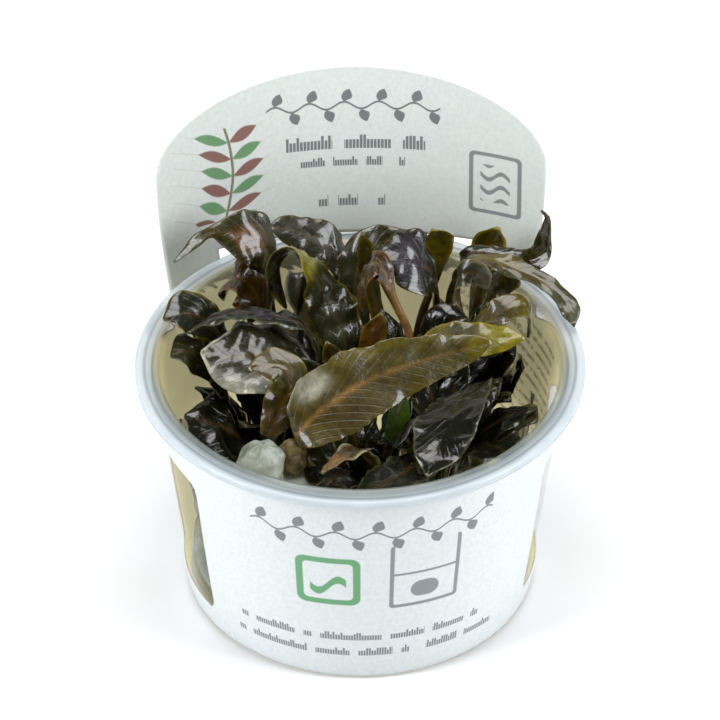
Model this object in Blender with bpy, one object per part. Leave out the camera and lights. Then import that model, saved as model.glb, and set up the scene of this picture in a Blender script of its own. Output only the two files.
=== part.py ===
"""An aquarium plant, cryptocoryne wendtii, as it is sold: several plantlets crowded in a clear plastic
growing cup, with a bed of nutrient gel under them and a white card sleeve round the cup.

The origin is the middle of the cup's flat base, on the table, with +Z up. The sleeve's tall tab stands
at +Y, behind the plant, and -Y is the front.
"""
import math

import bmesh
import bpy
import numpy as np

MM = 0.001
GAP = 0.35

# Cup, in millimetres
CUP_TALL = 44.0
FLANGE_RADIUS = 37.5
FLANGE_INNER = 34.6
LIP_DROP = 1.5
MOUTH_RADIUS = 32.7
WALL = 0.8
BASE_RADIUS = 23.5
BASE_CORNER = 6.0
ROUND_STEPS = 36

# Sleeve, in millimetres: its inner radius grows from the base edge to the flange along a slight belly
SLEEVE_BASE = 29.1
SLEEVE_FLARE = 5.3
SLEEVE_BELLY = 0.8
SLEEVE_TOP = 42.6
CARD = 0.4
TAB_ANGLES = [9.0, 18.0, 26.5, 34.2, 41.8, 49.2]
RING_COLUMNS = 28
TAB_TOP = 77.2
TAB_WIDEST = 62.7
TAB_HALF_WIDTH = 32.9
TAB_HALF_ROOT = 31.1
TAB_FOOT = 39.0
TAB_CURVE = 66.0
TAB_FRONT = 34.5
TAB_LEAN = 0.1
FLARE_START = 31.0
FLARE_FADE = 15.0
SLOT_COLUMNS = 4
SLOT_LOW = 41.9
SLOT_HIGH = 45.2

# The two side windows: their edges as angles from the front, positive to the right
WINDOWS = {"left": (-110.0, -56.0), "right": (61.0, 115.0)}
WINDOW_LOW = 4.5
WINDOW_HIGH = 33.8
WINDOW_CORNER = 3.0

# Gel and rootstocks, in millimetres
GEL_TOP = 7.0
CROWN_RADIUS = 2.4
CROWN_TALL = 6.0
STALK = 1.3
BLADE_THICK = 0.5
EXTRA_STATIONS = 5
STALK_STEPS = 0.3
LEAF_SIDES = 6

# Places of the plantlets' rootstocks: middle of the underside
CROWNS = {
    "back": (-6.0, 14.0, GEL_TOP + GAP),
    "left": (-15.0, 5.0, GEL_TOP + GAP),
    "right": (9.5, 12.0, GEL_TOP + GAP),
    "corner": (18.5, 13.5, GEL_TOP + GAP),
    "middle": (14.0, 0.0, GEL_TOP + GAP),
    "front": (1.0, -10.0, GEL_TOP + GAP),
    "lump": (-12.0, -14.0, 32.5),
}

# The gel lump: height, middle and radius of its sections
LUMP = [(GEL_TOP + GAP, -13.5, -16.0, 5.2), (18.0, -13.5, -16.0, 5.8), (30.0, -13.6, -16.0, 5.8),
        (31.8, -13.8, -16.2, 5.2), (31.9, -17.0, -18.9, 3.8), (36.5, -17.6, -19.4, 4.2),
        (39.5, -17.2, -18.8, 3.5), (41.2, -16.8, -18.4, 1.8)]

# Leaves in millimetres. A way lists the points of the midrib above the leaf's foot on its rootstock,
# each with the blade's width there; side is the direction that the blade's width lies along, which
# turns evenly from the first to the last given; cup lifts the margins (degrees); wave is the height
# and the number of the ripples along the margins.
LEAVES = {
    "leaf_long_front": {
        "crown": "lump", "foot": 50,
        "way": [(-10, -11.5, 41, 4), (-7, -11, 43.5, 10), (-2, -9.6, 45.5, 14), (4, -7.3, 47, 14.5),
                (11.4, -4.9, 47.6, 12), (17.3, -3.4, 48.2, 8), (21.8, -2.7, 49, 0.5)],
        "side": [(-0.2, 0.85, 0.35), (-0.1, 0.85, 0.5)], "cup": 8, "wave": (0.5, 3)},
    "leaf_folded_olive": {
        "crown": "lump", "foot": 130,
        "way": [(-15, -10.5, 41, 4), (-12.5, -9, 44, 6.5), (-12.5, -6.5, 46.5, 6), (-15.4, -4.6, 47, 6),
                (-18.4, -2.2, 46, 0.5)],
        "side": [(0.9, -0.3, 0.2), (0.9, 0.6, 0), (0.3, 0.9, 0)], "cup": 10, "wave": (0.3, 2)},
    "leaf_yellow_edge": {
        "crown": "middle", "foot": 115,
        "way": [(10.5, 5, 30, 1.6), (10.8, 5.2, 40, 4), (13, 4.8, 43.5, 8), (18.6, 3.1, 45, 8), (23.5, 1.8, 46, 6),
                (27.4, 0.8, 46.5, 0.5)],
        "side": [(-0.3, 0.8, 0.5), (0.1, 0.8, 0.5)], "cup": -6, "wave": (0.4, 3)},
    "leaf_top_left": {
        "crown": "back", "foot": 165,
        "way": [(-13.5, 20, 30, 1.3), (-15, 21.6, 40, 1.6), (-14.8, 22.4, 46.4, 4), (-14.4, 22.4, 51.4, 10),
                (-17.3, 22, 54, 12), (-21.5, 21.8, 55, 6), (-24, 22, 55, 2.2), (-26, 21.5, 53.5, 3),
                (-28, 21, 52, 1.6), (-30, 20.5, 50.5, 0.4)],
        "side": [(-0.2, -0.8, -0.5), (0, -0.8, -0.6), (0.2, -0.5, -0.8)], "cup": -12, "wave": (0.4, 3)},
    "leaf_loop": {
        "crown": "back", "foot": -60,
        "way": [(-2, 12, 34, 3), (-3, 13.6, 42, 8), (-5.5, 14.6, 49, 9), (-8.2, 14.6, 54.5, 9),
                (-10.6, 14.6, 56.5, 8), (-12.4, 14.6, 54.5, 7), (-13.2, 14.6, 50, 5.6), (-12.8, 14.8, 46.4, 3.5),
                (-12, 15, 43.4, 0.5)],
        "side": [(0.1, -1, 0.1), (-0.1, -1, 0.2)], "cup": -14, "wave": (0.5, 4)},
    "leaf_grey_tongue": {
        "crown": "back", "foot": 100,
        "way": [(-7, 21, 30, 1.6), (-8, 23, 40, 6), (-9, 22.4, 45.5, 6.5), (-9.9, 20.8, 46.5, 5.5),
                (-10.3, 19.6, 43.5, 4), (-10, 19, 40, 0.5)],
        "side": [(1, 0, 0), (-1, -0.1, 0)], "cup": 8, "wave": (0.3, 2)},
    "leaf_round_brown": {
        "crown": "left", "foot": 80,
        "way": [(-16, 13, 28, 1.3), (-16.6, 16.8, 38, 4), (-17, 18.6, 44.4, 9), (-18.8, 19, 47.4, 11),
                (-21, 18.8, 47.2, 9), (-22.6, 18.2, 44.5, 6), (-22.8, 17.6, 41.5, 0.5)],
        "side": [(-0.4, -0.9, -0.1), (-0.3, -0.9, 0)], "cup": -16, "wave": (0.3, 2)},
    "leaf_left_rim": {
        "crown": "left", "foot": 120,
        "way": [(-20, 11.5, 32, 1.6), (-23, 12, 41, 5), (-26.5, 11.2, 45.6, 8), (-29.4, 10, 47.2, 8),
                (-32.5, 9, 47, 0.6)],
        "side": [(-0.4, -0.9, -0.3), (-0.3, -0.9, -0.3)], "cup": 6, "wave": (0.4, 2)},
    "leaf_left_flat": {
        "crown": "left", "foot": 175,
        "way": [(-22, 9, 28, 1.6), (-24, 9, 36, 6), (-26.5, 8, 41, 8.5), (-29, 6.5, 42.5, 8), (-31, 5.5, 42.5, 0.6)],
        "side": [(-0.3, -0.9, 0), (-0.3, -0.9, -0.2)], "cup": -10, "wave": (0.4, 2)},
    "leaf_grey_long": {
        "crown": "left", "foot": 20,
        "way": [(-8, 7.5, 30, 1.6), (-7, 8.2, 38, 4), (-8.4, 8.8, 42.4, 6), (-11.2, 9.2, 44.6, 6.6),
                (-15.3, 9.6, 46.2, 7), (-20.4, 9.4, 47.2, 6.5), (-24.2, 8.5, 47.2, 4), (-28, 6.4, 46.5, 0.5)],
        "side": [(0, -0.9, -0.3), (0, -0.9, -0.2)], "cup": -8, "wave": (0.4, 4)},
    "leaf_big_left": {
        "crown": "left", "foot": 320,
        "way": [(-9, 3, 30, 1.6), (-9.6, 4.4, 38.5, 7), (-13, 4.6, 42, 12.5), (-17, 3.2, 43, 14),
                (-21.4, 2.2, 43, 12), (-26, 3, 42.8, 0.8)],
        "side": [(0, -0.9, -0.5), (0, -0.9, -0.4)], "cup": -10, "wave": (0.5, 3)},
    "leaf_dark_low_left": {
        "crown": "left", "foot": 250,
        "way": [(-17, -2, 24, 4), (-19.9, -4, 31, 12), (-23, -5, 34.5, 16), (-26.5, -5, 36, 12), (-29.5, -4.5, 37, 1)],
        "side": [(0.2, -0.9, -0.2), (0.1, -0.9, -0.2)], "cup": -8, "wave": (0.5, 2)},
    "leaf_small_orange": {
        "crown": "front", "foot": 90,
        "way": [(2, 1, 32, 2), (2, 4, 41, 4), (2.4, 3.6, 46, 4.6), (3.2, 2.8, 50, 2.6), (3.6, 2.4, 52, 0.4)],
        "side": [(1, 0, 0)], "cup": 14, "wave": (0.2, 1)},
    "leaf_brown_droop": {
        "crown": "right", "foot": 250,
        "way": [(9.4, 8.8, 34, 1.3), (8.7, 9.6, 42, 1.3), (7.3, 9.7, 46, 1.4), (5.7, 10.3, 50, 1.8), (4.6, 10.8, 54, 5),
                (3.1, 10.8, 56, 8), (1.7, 10.4, 54.5, 8), (1, 9.8, 51, 6), (1.3, 9.4, 48, 0.6)],
        "side": [(-1, 0, 0), (-0.3, -0.95, 0), (0, -1, 0)], "cup": -12, "wave": (0.3, 2)},
    "leaf_purple_fold": {
        "crown": "right", "foot": 20,
        "way": [(13.6, 15, 32, 1.6), (13.6, 16, 43, 6), (12.8, 15.6, 49.5, 11), (10.6, 15, 54, 12),
                (7.6, 15.5, 55.5, 9), (3.8, 16, 55, 0.6)],
        "side": [(0, -1, -0.3), (-0.1, -0.8, -0.6)], "cup": -10, "wave": (0.4, 3)},
    "leaf_back_lobe": {
        "crown": "right", "foot": 75,
        "way": [(11, 21.5, 32, 1.6), (14.5, 24, 44, 4), (15, 24, 50, 5), (14.4, 23, 53, 4), (13.4, 22, 55, 0.6)],
        "side": [(-1, 0, 0)], "cup": 8, "wave": (0.2, 1)},
    "leaf_back_grey": {
        "crown": "back", "foot": 60,
        "way": [(-2, 22, 32, 1.8), (-0.8, 27, 43, 5), (-3.5, 28, 48.6, 7), (-8, 28.4, 51, 6.5), (-11.8, 28.6, 52, 4),
                (-14, 28.4, 52.4, 0.6)],
        "side": [(-0.1, -0.8, -0.6), (-0.1, -0.8, -0.6)], "cup": -10, "wave": (0.4, 3)},
    "leaf_back_thin": {
        "crown": "back", "foot": 20,
        "way": [(2, 19, 32, 1.6), (1, 24, 42, 3), (2.1, 25.5, 48, 4), (5, 25.5, 51, 4), (9, 24.5, 52.5, 0.5)],
        "side": [(0, 0.8, 0.5)], "cup": -8, "wave": (0.3, 2)},
    "leaf_back_tip": {
        "crown": "right", "foot": 140,
        "way": [(5, 17, 32, 1.6), (3, 20, 44, 3), (2.2, 21, 50, 3.4), (1.4, 21, 55, 0.4)],
        "side": [(1, 0, 0)], "cup": 8, "wave": (0.2, 1)},
    "leaf_long_right": {
        "crown": "corner", "foot": 125,
        "way": [(15, 21, 30, 1.6), (18, 23.8, 42, 3), (20, 23.4, 49, 5), (25, 20.6, 50, 5), (29.2, 18.2, 50.4, 5),
                (31.8, 17.6, 52, 5), (32.3, 18.1, 55, 3), (32.8, 18.6, 57.5, 1.2), (32.3, 18.8, 58.8, 0.8),
                (31.2, 19, 59.6, 0.3)],
        "side": [(0.3, 0.8, 0.4), (0.1, 0.8, 0.5), (-0.4, 0.6, 0.2), (-0.9, 0.2, 0)], "cup": 8, "wave": (0.4, 4)},
    "leaf_right_lobe": {
        "crown": "corner", "foot": 70,
        "way": [(20.4, 20.5, 32, 1.6), (21.8, 23.6, 43, 3.4), (23.4, 25, 48.6, 6), (24.8, 24.2, 52.8, 0.8)],
        "side": [(0.9, -0.3, 0)], "cup": 10, "wave": (0.2, 1)},
    "leaf_over_rim": {
        "crown": "corner", "foot": 165,
        "way": [(15, 17.6, 32, 1.6), (16.5, 20, 44, 3), (19.8, 18.8, 48, 3.6), (24.8, 16.9, 47.2, 3.6),
                (29.4, 15.2, 46.8, 3), (32, 13.4, 47, 2.4), (34.2, 11, 47, 3.6), (35.6, 8, 46.4, 3.4),
                (35.9, 4, 45.8, 0.5)],
        "side": [(0.2, 0.9, 0.3), (0.6, 0.7, 0.1), (1, 0.1, 0.1)], "cup": 8, "wave": (0.3, 3)},
    "leaf_grey_arch": {
        "crown": "corner", "foot": 210,
        "way": [(16.6, 14.6, 34, 1.8), (16.2, 15.4, 42, 3), (17.2, 14.4, 47.4, 6), (19.4, 13.6, 49.6, 6.6),
                (21.4, 13.2, 48.2, 4.6), (22.4, 13, 46, 0.5)],
        "side": [(0.1, 0.9, 0.3), (0.2, 0.9, 0.3)], "cup": -10, "wave": (0.3, 2)},
    "leaf_brown_right": {
        "crown": "corner", "foot": 20,
        "way": [(21, 17, 30, 2), (22, 18.5, 40, 6), (24, 18, 43.8, 8), (26.4, 17, 44.8, 7), (28.6, 15.6, 44.8, 0.8)],
        "side": [(0.1, 0.8, 0.5), (0.2, 0.8, 0.5)], "cup": -8, "wave": (0.4, 2)},
    "leaf_olive_diagonal": {
        "crown": "middle", "foot": 75,
        "way": [(16.6, 7, 30, 1.6), (18, 9.6, 38, 3.5), (22.5, 10.2, 42, 5), (26, 11, 43.8, 5.5),
                (28, 11.2, 44.2, 4.5), (29.2, 10.9, 43, 4), (29, 10.4, 40, 3.5), (28.6, 10, 37.6, 0.5)],
        "side": [(-0.1, 0.9, 0.4), (0, 0.9, 0.4)], "cup": 8, "wave": (0.3, 3)},
    "leaf_dark_tip": {
        "crown": "corner", "foot": 330,
        "way": [(22.5, 11.5, 24, 2), (23.6, 12, 31, 5), (25.4, 13.2, 34.4, 5), (27.2, 14.6, 35.4, 0.6)],
        "side": [(-0.5, 0.8, 0)], "cup": 8, "wave": (0.3, 2)},
    "leaf_dark_centre": {
        "crown": "right", "foot": 305,
        "way": [(12, 8, 26, 2), (12.6, 8.4, 35, 6), (14, 8.8, 39.6, 8), (17, 9.2, 41.6, 7), (20, 9.6, 41, 0.8)],
        "side": [(0.1, 0.9, 0.3), (0.1, 0.9, 0.3)], "cup": -12, "wave": (0.4, 2)},
    "leaf_front_right": {
        "crown": "middle", "foot": 250,
        "way": [(14, -5, 26, 1.6), (15.6, -3.6, 37, 6), (15.4, -6.4, 41.6, 12), (13.1, -14, 43, 14),
                (11.4, -20.4, 42, 11), (10.2, -24.4, 40.6, 6), (9.4, -26.7, 39.6, 0.6)],
        "side": [(0.9, 0.1, 0.1), (0.9, 0.2, 0.1)], "cup": 8, "wave": (0.5, 3)},
    "leaf_grey_front": {
        "crown": "front", "foot": 340,
        "way": [(7, -12, 24, 2.4), (8, -14, 32, 7), (6.6, -19.4, 35.6, 9), (2, -24, 36.4, 8), (-3, -26.6, 36.2, 0.8)],
        "side": [(0.8, -0.5, 0.1), (0.6, -0.7, 0.1)], "cup": 6, "wave": (0.4, 3)},
    "leaf_tan_small": {
        "crown": "front", "foot": 280,
        "way": [(1.6, -14.6, 26, 1.6), (1.2, -15.6, 34, 3), (-1.2, -18.6, 38.6, 4.4), (-5, -22.6, 40, 3.4),
                (-7.4, -24.6, 40, 0.5)],
        "side": [(0.7, -0.6, 0.2), (0.7, -0.6, 0.3)], "cup": 12, "wave": (0.4, 2)},
    "leaf_dark_right": {
        "crown": "middle", "foot": 290,
        "way": [(18, -7.6, 22, 2.4), (20.7, -9, 31, 7), (22.6, -13, 34.6, 8), (23.6, -17, 35.6, 0.8)],
        "side": [(0.8, 0.5, 0.1), (0.8, 0.5, 0.2)], "cup": 8, "wave": (0.3, 2)},
    "leaf_olive_right_low": {
        "crown": "middle", "foot": 5,
        "way": [(21, 1.6, 20, 2.4), (24, 0.5, 28, 8), (26.9, -1.4, 31.6, 8.5), (29.4, -4, 33, 0.8)],
        "side": [(0.2, 0.9, 0.1), (0.4, 0.8, 0.1)], "cup": -8, "wave": (0.4, 2)},
    "leaf_green_bit": {
        "crown": "front", "foot": 20,
        "way": [(5, -7.4, 26, 1.8), (5.4, -7.4, 34, 3.4), (6.3, -7, 38, 3.4), (7.6, -6.4, 41, 0.4)],
        "side": [(0.9, -0.4, 0.1)], "cup": 10, "wave": (0.2, 1)},
    "leaf_dark_front_mid": {
        "crown": "front", "foot": 210,
        "way": [(-3, -11, 24, 2), (-3.6, -12.4, 30.4, 8), (-5, -17, 33.2, 11), (-7.4, -22, 33.8, 1)],
        "side": [(0.9, -0.4, 0.1), (0.9, -0.4, 0.1)], "cup": -8, "wave": (0.5, 2)},
    "leaf_orange_mid": {
        "crown": "front", "foot": 130,
        "way": [(-3, 2, 30, 1.8), (-3.6, 4, 38, 3.4), (-4.6, 4.4, 42, 3.4), (-5.4, 4.2, 45, 0.4)],
        "side": [(1, 0.2, 0)], "cup": 12, "wave": (0.2, 1)},
    "leaf_beige": {
        "crown": "back", "foot": 230,
        "way": [(-10.4, 11.8, 28, 1.6), (-9.8, 12.2, 36, 5), (-11.6, 12.2, 40.2, 7), (-15, 12.2, 42, 6),
                (-18, 12.4, 42.4, 0.6)],
        "side": [(0, -0.9, -0.4), (0, -0.9, -0.3)], "cup": -8, "wave": (0.4, 2)},
    "leaf_glossy_mid": {
        "crown": "front", "foot": 160,
        "way": [(-5, -2, 26, 2), (-5.8, 0, 35, 5), (-7, 1.2, 41, 5.5), (-8.2, 1.8, 45, 0.6)],
        "side": [(0.9, 0.1, 0.1)], "cup": 10, "wave": (0.3, 2)},
    "leaf_wall_left": {
        "crown": "left", "foot": 200,
        "way": [(-22, -2, 9.5, 3), (-26, -6, 12.5, 8), (-27.6, -7.5, 20, 10), (-28.6, -8, 28, 0.8)],
        "side": [(0.25, -0.95, 0)], "cup": 8, "wave": (0.3, 2)},
    "leaf_wall_left_back": {
        "crown": "left", "foot": 150,
        "way": [(-24, 9, 10, 3), (-27, 8, 14, 8), (-29, 6, 22, 9), (-30, 3, 30, 0.8)],
        "side": [(-0.05, -1, 0)], "cup": 8, "wave": (0.3, 2)},
    "leaf_wall_right": {
        "crown": "middle", "foot": 325,
        "way": [(21, -6, 9.6, 3), (25, -9, 13, 8), (27, -10, 20, 9), (28, -9, 28, 0.8)],
        "side": [(0.3, 0.95, 0)], "cup": 8, "wave": (0.3, 2)},
    "leaf_wall_right_back": {
        "crown": "middle", "foot": 35,
        "way": [(22, 5, 10, 3), (26.4, 6, 14, 7), (28.6, 6.6, 22, 8), (29.6, 7, 30, 0.8)],
        "side": [(0, 1, 0)], "cup": 8, "wave": (0.3, 2)},
}


def smoothstep(t):
    """Rises from 0 to 1 as t goes from 0 to 1, level at both ends."""
    t = np.clip(t, 0.0, 1.0)
    return t * t * (3.0 - 2.0 * t)


def new_object(name, points, faces, material, closed=True):
    """Makes an object from points in millimetres, shaded smooth; a closed body is turned outwards."""
    mesh = bpy.data.meshes.new(name)
    mesh.from_pydata((np.asarray(points) * MM).tolist(), [], faces)
    if closed:
        work = bmesh.new()
        work.from_mesh(mesh)
        bmesh.ops.recalc_face_normals(work, faces=work.faces)
        work.to_mesh(mesh)
        work.free()
    mesh.shade_smooth()
    mesh.set_sharp_from_angle(angle=math.radians(40))
    obj = bpy.data.objects.new(name, mesh)
    bpy.context.scene.collection.objects.link(obj)
    if material:
        mesh.materials.append(material)
    return obj


def closed_loft(rings):
    """Points and faces of a closed body through rings of like points, with a flat cap on both ends."""
    count, sides = rings.shape[0], rings.shape[1]
    faces = [list(range(sides))[::-1], [(count - 1) * sides + k for k in range(sides)]]
    for i in range(count - 1):
        for k in range(sides):
            after = (k + 1) % sides
            faces.append([i * sides + k, i * sides + after, (i + 1) * sides + after, (i + 1) * sides + k])
    return rings.reshape(-1, 3), faces


def turned(profile, steps=ROUND_STEPS):
    """Rings of a turned body, one for each (radius, height) of the profile."""
    turn = np.linspace(0.0, 2.0 * math.pi, steps, endpoint=False)
    profile = np.asarray(profile)
    rings = np.empty((len(profile), steps, 3))
    rings[:, :, 0] = profile[:, :1] * np.cos(turn)
    rings[:, :, 1] = profile[:, :1] * np.sin(turn)
    rings[:, :, 2] = profile[:, 1:2]
    return rings


def plain_material(name, colour, roughness, see_through=0.0):
    """A Principled material of one colour."""
    material = bpy.data.materials.new(name)
    material.use_nodes = True
    shader = material.node_tree.nodes["Principled BSDF"]
    shader.inputs["Base Color"].default_value = (*colour, 1.0)
    shader.inputs["Roughness"].default_value = roughness
    shader.inputs["Metallic"].default_value = 0.0
    shader.inputs["Transmission Weight"].default_value = see_through
    return material


def sleeve_radius(z):
    """Inner radius of the sleeve's cone at a height."""
    return SLEEVE_BASE + SLEEVE_FLARE * (np.maximum(z, 0.0) / SLEEVE_TOP) ** SLEEVE_BELLY


def cup_radius(z):
    """Outer radius of the cup's wall at a height above its rounded corner."""
    return sleeve_radius(z) - GAP


def make_cup(material):
    """The clear bowl: flat base, rounded corner, flaring wall and a flat flange with a turned-down lip."""
    profile = []
    corner_top = BASE_CORNER
    start = cup_radius(corner_top)
    for step in range(5):
        turn = math.radians(90.0 * step / 4)
        radius = BASE_RADIUS + (start - BASE_RADIUS) * math.sin(turn)
        profile.append((radius, corner_top * (1.0 - math.cos(turn))))
    under = CUP_TALL - WALL
    for z in (15.0, 28.0, under):
        profile.append((min(cup_radius(z), MOUTH_RADIUS + WALL + 0.4), z))
    profile += [(FLANGE_RADIUS - 0.7, under), (FLANGE_RADIUS - 0.7, CUP_TALL - LIP_DROP),
                (FLANGE_RADIUS, CUP_TALL - LIP_DROP), (FLANGE_RADIUS, CUP_TALL - 0.3),
                (FLANGE_RADIUS - 0.3, CUP_TALL), (FLANGE_INNER, CUP_TALL),
                (MOUTH_RADIUS + 0.6, CUP_TALL - 0.7), (MOUTH_RADIUS, CUP_TALL - 2.0)]
    for z in (28.0, 15.0):
        profile.append((cup_radius(z) - WALL, z))
    for step in range(5):
        turn = math.radians(90.0 * (4 - step) / 4)
        radius = BASE_RADIUS + (start - WALL - BASE_RADIUS) * math.sin(turn)
        profile.append((radius, WALL + (corner_top - WALL) * (1.0 - math.cos(turn))))
    return new_object("cup", *closed_loft(turned(profile)), material)


def cup_inside(z):
    """Inner radius of the cup at a height, in its rounded corner too."""
    start = cup_radius(BASE_CORNER) - WALL
    if z >= BASE_CORNER:
        return cup_radius(z) - WALL
    rise = 1.0 - (z - WALL) / (BASE_CORNER - WALL)
    return BASE_RADIUS + (start - BASE_RADIUS) * math.sqrt(max(0.0, 1.0 - rise * rise))


def tab_outline(z):
    """Half the tab's width at a height: straight sides that spread a little, then a round top."""
    if z <= TAB_WIDEST:
        share = (z - TAB_FOOT) / (TAB_WIDEST - TAB_FOOT)
        return TAB_HALF_ROOT + (TAB_HALF_WIDTH - TAB_HALF_ROOT) * math.sin(0.5 * math.pi * share)
    rise = (z - TAB_WIDEST) / (TAB_TOP - TAB_WIDEST)
    return TAB_HALF_WIDTH * (1.0 - rise ** 2.3) ** (1.0 / 1.9)


def tab_depth(x, z):
    """How far back the tab's front face stands: a flat arc, leaning back a little."""
    return TAB_FRONT + TAB_LEAN * (z - CUP_TALL) - (TAB_CURVE - math.sqrt(TAB_CURVE ** 2 - x * x))


def sleeve_point(angle, z):
    """A point of the sleeve's inner face: a cone that opens into the flatter tab towards the back."""
    turn = math.radians(angle)
    cone = float(sleeve_radius(z))
    tilt = abs(math.sin(turn))
    inside = TAB_CURVE - TAB_FRONT - TAB_LEAN * (z - CUP_TALL)
    reach = -inside * math.cos(turn) + math.sqrt(TAB_CURVE ** 2 - (inside * tilt) ** 2)
    opened = smoothstep((z - FLARE_START) / (CUP_TALL - FLARE_START))
    behind = 1.0 - smoothstep((abs(angle) - TAB_ANGLES[-1]) / FLARE_FADE)
    radius = cone + (reach - cone) * float(opened) * float(behind)
    return radius * math.sin(turn), radius * math.cos(turn), z


def window_cutter(name, start, end):
    """A wedge that reaches through the sleeve, with rounded corners, for one side window."""
    reach = math.degrees(WINDOW_CORNER / 32.0)
    corners = [(end - reach, WINDOW_HIGH - WINDOW_CORNER, 0), (start + reach, WINDOW_HIGH - WINDOW_CORNER, 90),
               (start + reach, WINDOW_LOW + WINDOW_CORNER, 180), (end - reach, WINDOW_LOW + WINDOW_CORNER, 270)]
    outline = []
    for angle, z, begin in corners:
        for step in range(4):
            turn = math.radians(begin + 30.0 * step)
            outline.append((angle + reach * math.cos(turn), z + WINDOW_CORNER * math.sin(turn)))
    dense = []
    for i, (angle, z) in enumerate(outline):
        to_angle, to_z = outline[(i + 1) % len(outline)]
        pieces = max(1, round(abs(to_angle - angle) / 8.0))
        for k in range(pieces):
            dense.append((angle + (to_angle - angle) * k / pieces, z + (to_z - z) * k / pieces))
    rings = np.empty((2, len(dense), 3))
    for ring, radius in enumerate((27.0, 40.0)):
        for k, (angle, z) in enumerate(dense):
            turn = math.radians(angle)
            rings[ring, k] = (radius * math.sin(turn), -radius * math.cos(turn), z)
    cutter = new_object(name, *closed_loft(rings), None)
    cutter.hide_render = True
    cutter.display_type = "WIRE"
    return cutter


def make_sleeve(material):
    """The card sleeve: one sheet with columns round the cup, and more rows where the tab stands. The slot
    that the flange passes through is left open between two rows of the tab."""
    half = len(TAB_ANGLES)
    tab_edge = TAB_ANGLES[-1]
    rest = 360.0 - 2.0 * tab_edge
    angles = [-angle for angle in reversed(TAB_ANGLES)] + [0.0] + TAB_ANGLES
    angles += [tab_edge + rest * k / RING_COLUMNS for k in range(1, RING_COLUMNS)]
    rows = [0.2, 9.0, 20.0, 31.0, 35.0, TAB_FOOT]
    points, faces, place = [], [], {}

    def put(column, row, point):
        place[column, row] = len(points)
        points.append(point)

    for c, angle in enumerate(angles):
        signed = angle if angle <= 180.0 else angle - 360.0
        for r, z in enumerate(rows):
            put(c, r, sleeve_point(signed, z))
        if c > 2 * half:
            away = smoothstep((abs(signed) - tab_edge - 6.0) / 22.0)
            top = TAB_FOOT + (SLEEVE_TOP - TAB_FOOT) * float(away)
            put(c, len(rows), sleeve_point(signed, top))
    top_row = len(rows) - 1
    for c in range(len(angles)):
        after = (c + 1) % len(angles)
        for r in range(top_row):
            faces.append([place[c, r], place[c, r + 1], place[after, r + 1], place[after, r]])
        if c > 2 * half and after != 0:
            faces.append([place[c, top_row], place[c, top_row + 1], place[after, top_row + 1],
                          place[after, top_row]])
    for c, after, top in ((2 * half, 2 * half + 1, 2 * half + 1), (len(angles) - 1, 0, len(angles) - 1)):
        faces.append([place[c, top_row], place[top, top_row + 1], place[after, top_row]])

    tab_rows = [SLOT_LOW, SLOT_HIGH, 54.0, TAB_WIDEST, 66.0, 68.8, 71.2, 73.2, 74.9, 76.1, 76.8, 77.15]
    root = [points[place[c, top_row]] for c in range(2 * half + 1)]
    widest = root[-1][0]
    below = top_row
    for t, z in enumerate(tab_rows):
        row = "tab%d" % t
        for c in range(2 * half + 1):
            x = root[c][0] * tab_outline(z) / widest
            put(c, row, (x, tab_depth(x, z), z))
        for c in range(2 * half):
            in_slot = z == SLOT_HIGH and abs(c + 0.5 - half) < SLOT_COLUMNS
            if not in_slot:
                faces.append([place[c, below], place[c, row], place[c + 1, row], place[c + 1, below]])
        below = row

    sleeve = new_object("sleeve", points, faces, material, closed=False)
    thick = sleeve.modifiers.new("card", "SOLIDIFY")
    thick.thickness = CARD * MM
    thick.offset = 1.0
    thick.use_even_offset = True
    for side, (start, end) in WINDOWS.items():
        cutter = window_cutter("window_cutter_" + side, start, end)
        cut = sleeve.modifiers.new(cutter.name, "BOOLEAN")
        cut.operation = "DIFFERENCE"
        cut.object = cutter
        cut.solver = "EXACT"
    return sleeve


def make_gel(material):
    """The bed of nutrient gel: it fills the bottom of the cup up to a level top."""
    low = WALL + GAP
    profile = [(BASE_RADIUS - 1.0, low)]
    for z in (2.2, 4.2):
        profile.append((cup_inside(z) - 1.6 * GAP, z))
    profile += [(cup_inside(GEL_TOP) - GAP, GEL_TOP - 0.5), (cup_inside(GEL_TOP) - 1.2, GEL_TOP)]
    return new_object("gel_bed", *closed_loft(turned(profile)), material)


def make_lump(material):
    """The lump of gel that clings under the front left plantlet: a post of gel with a shoulder that the
    rootstock stands on and a knob that rises beside it."""
    rings = []
    for z, x, y, radius in LUMP:
        turn = np.linspace(0.0, 2.0 * math.pi, 14, endpoint=False)
        uneven = radius * (1.0 + 0.07 * np.sin(3.0 * turn + z) + 0.05 * np.sin(5.0 * turn - 2.0 * z))
        rings.append(np.stack([x + uneven * np.cos(turn), y + uneven * np.sin(turn), np.full(14, z)], axis=1))
    return new_object("gel_lump", *closed_loft(np.array(rings)), material)


def make_crown(name, place, material):
    """A rootstock: a short knobbly stub, wider in its middle."""
    profile = []
    for share, width in ((0.0, 0.75), (0.25, 1.0), (0.6, 0.92), (0.85, 0.6), (1.0, 0.25)):
        profile.append((CROWN_RADIUS * width, CROWN_TALL * share))
    rings = turned(profile, 10) + np.asarray(place)
    return new_object(name, *closed_loft(rings), material)


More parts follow.
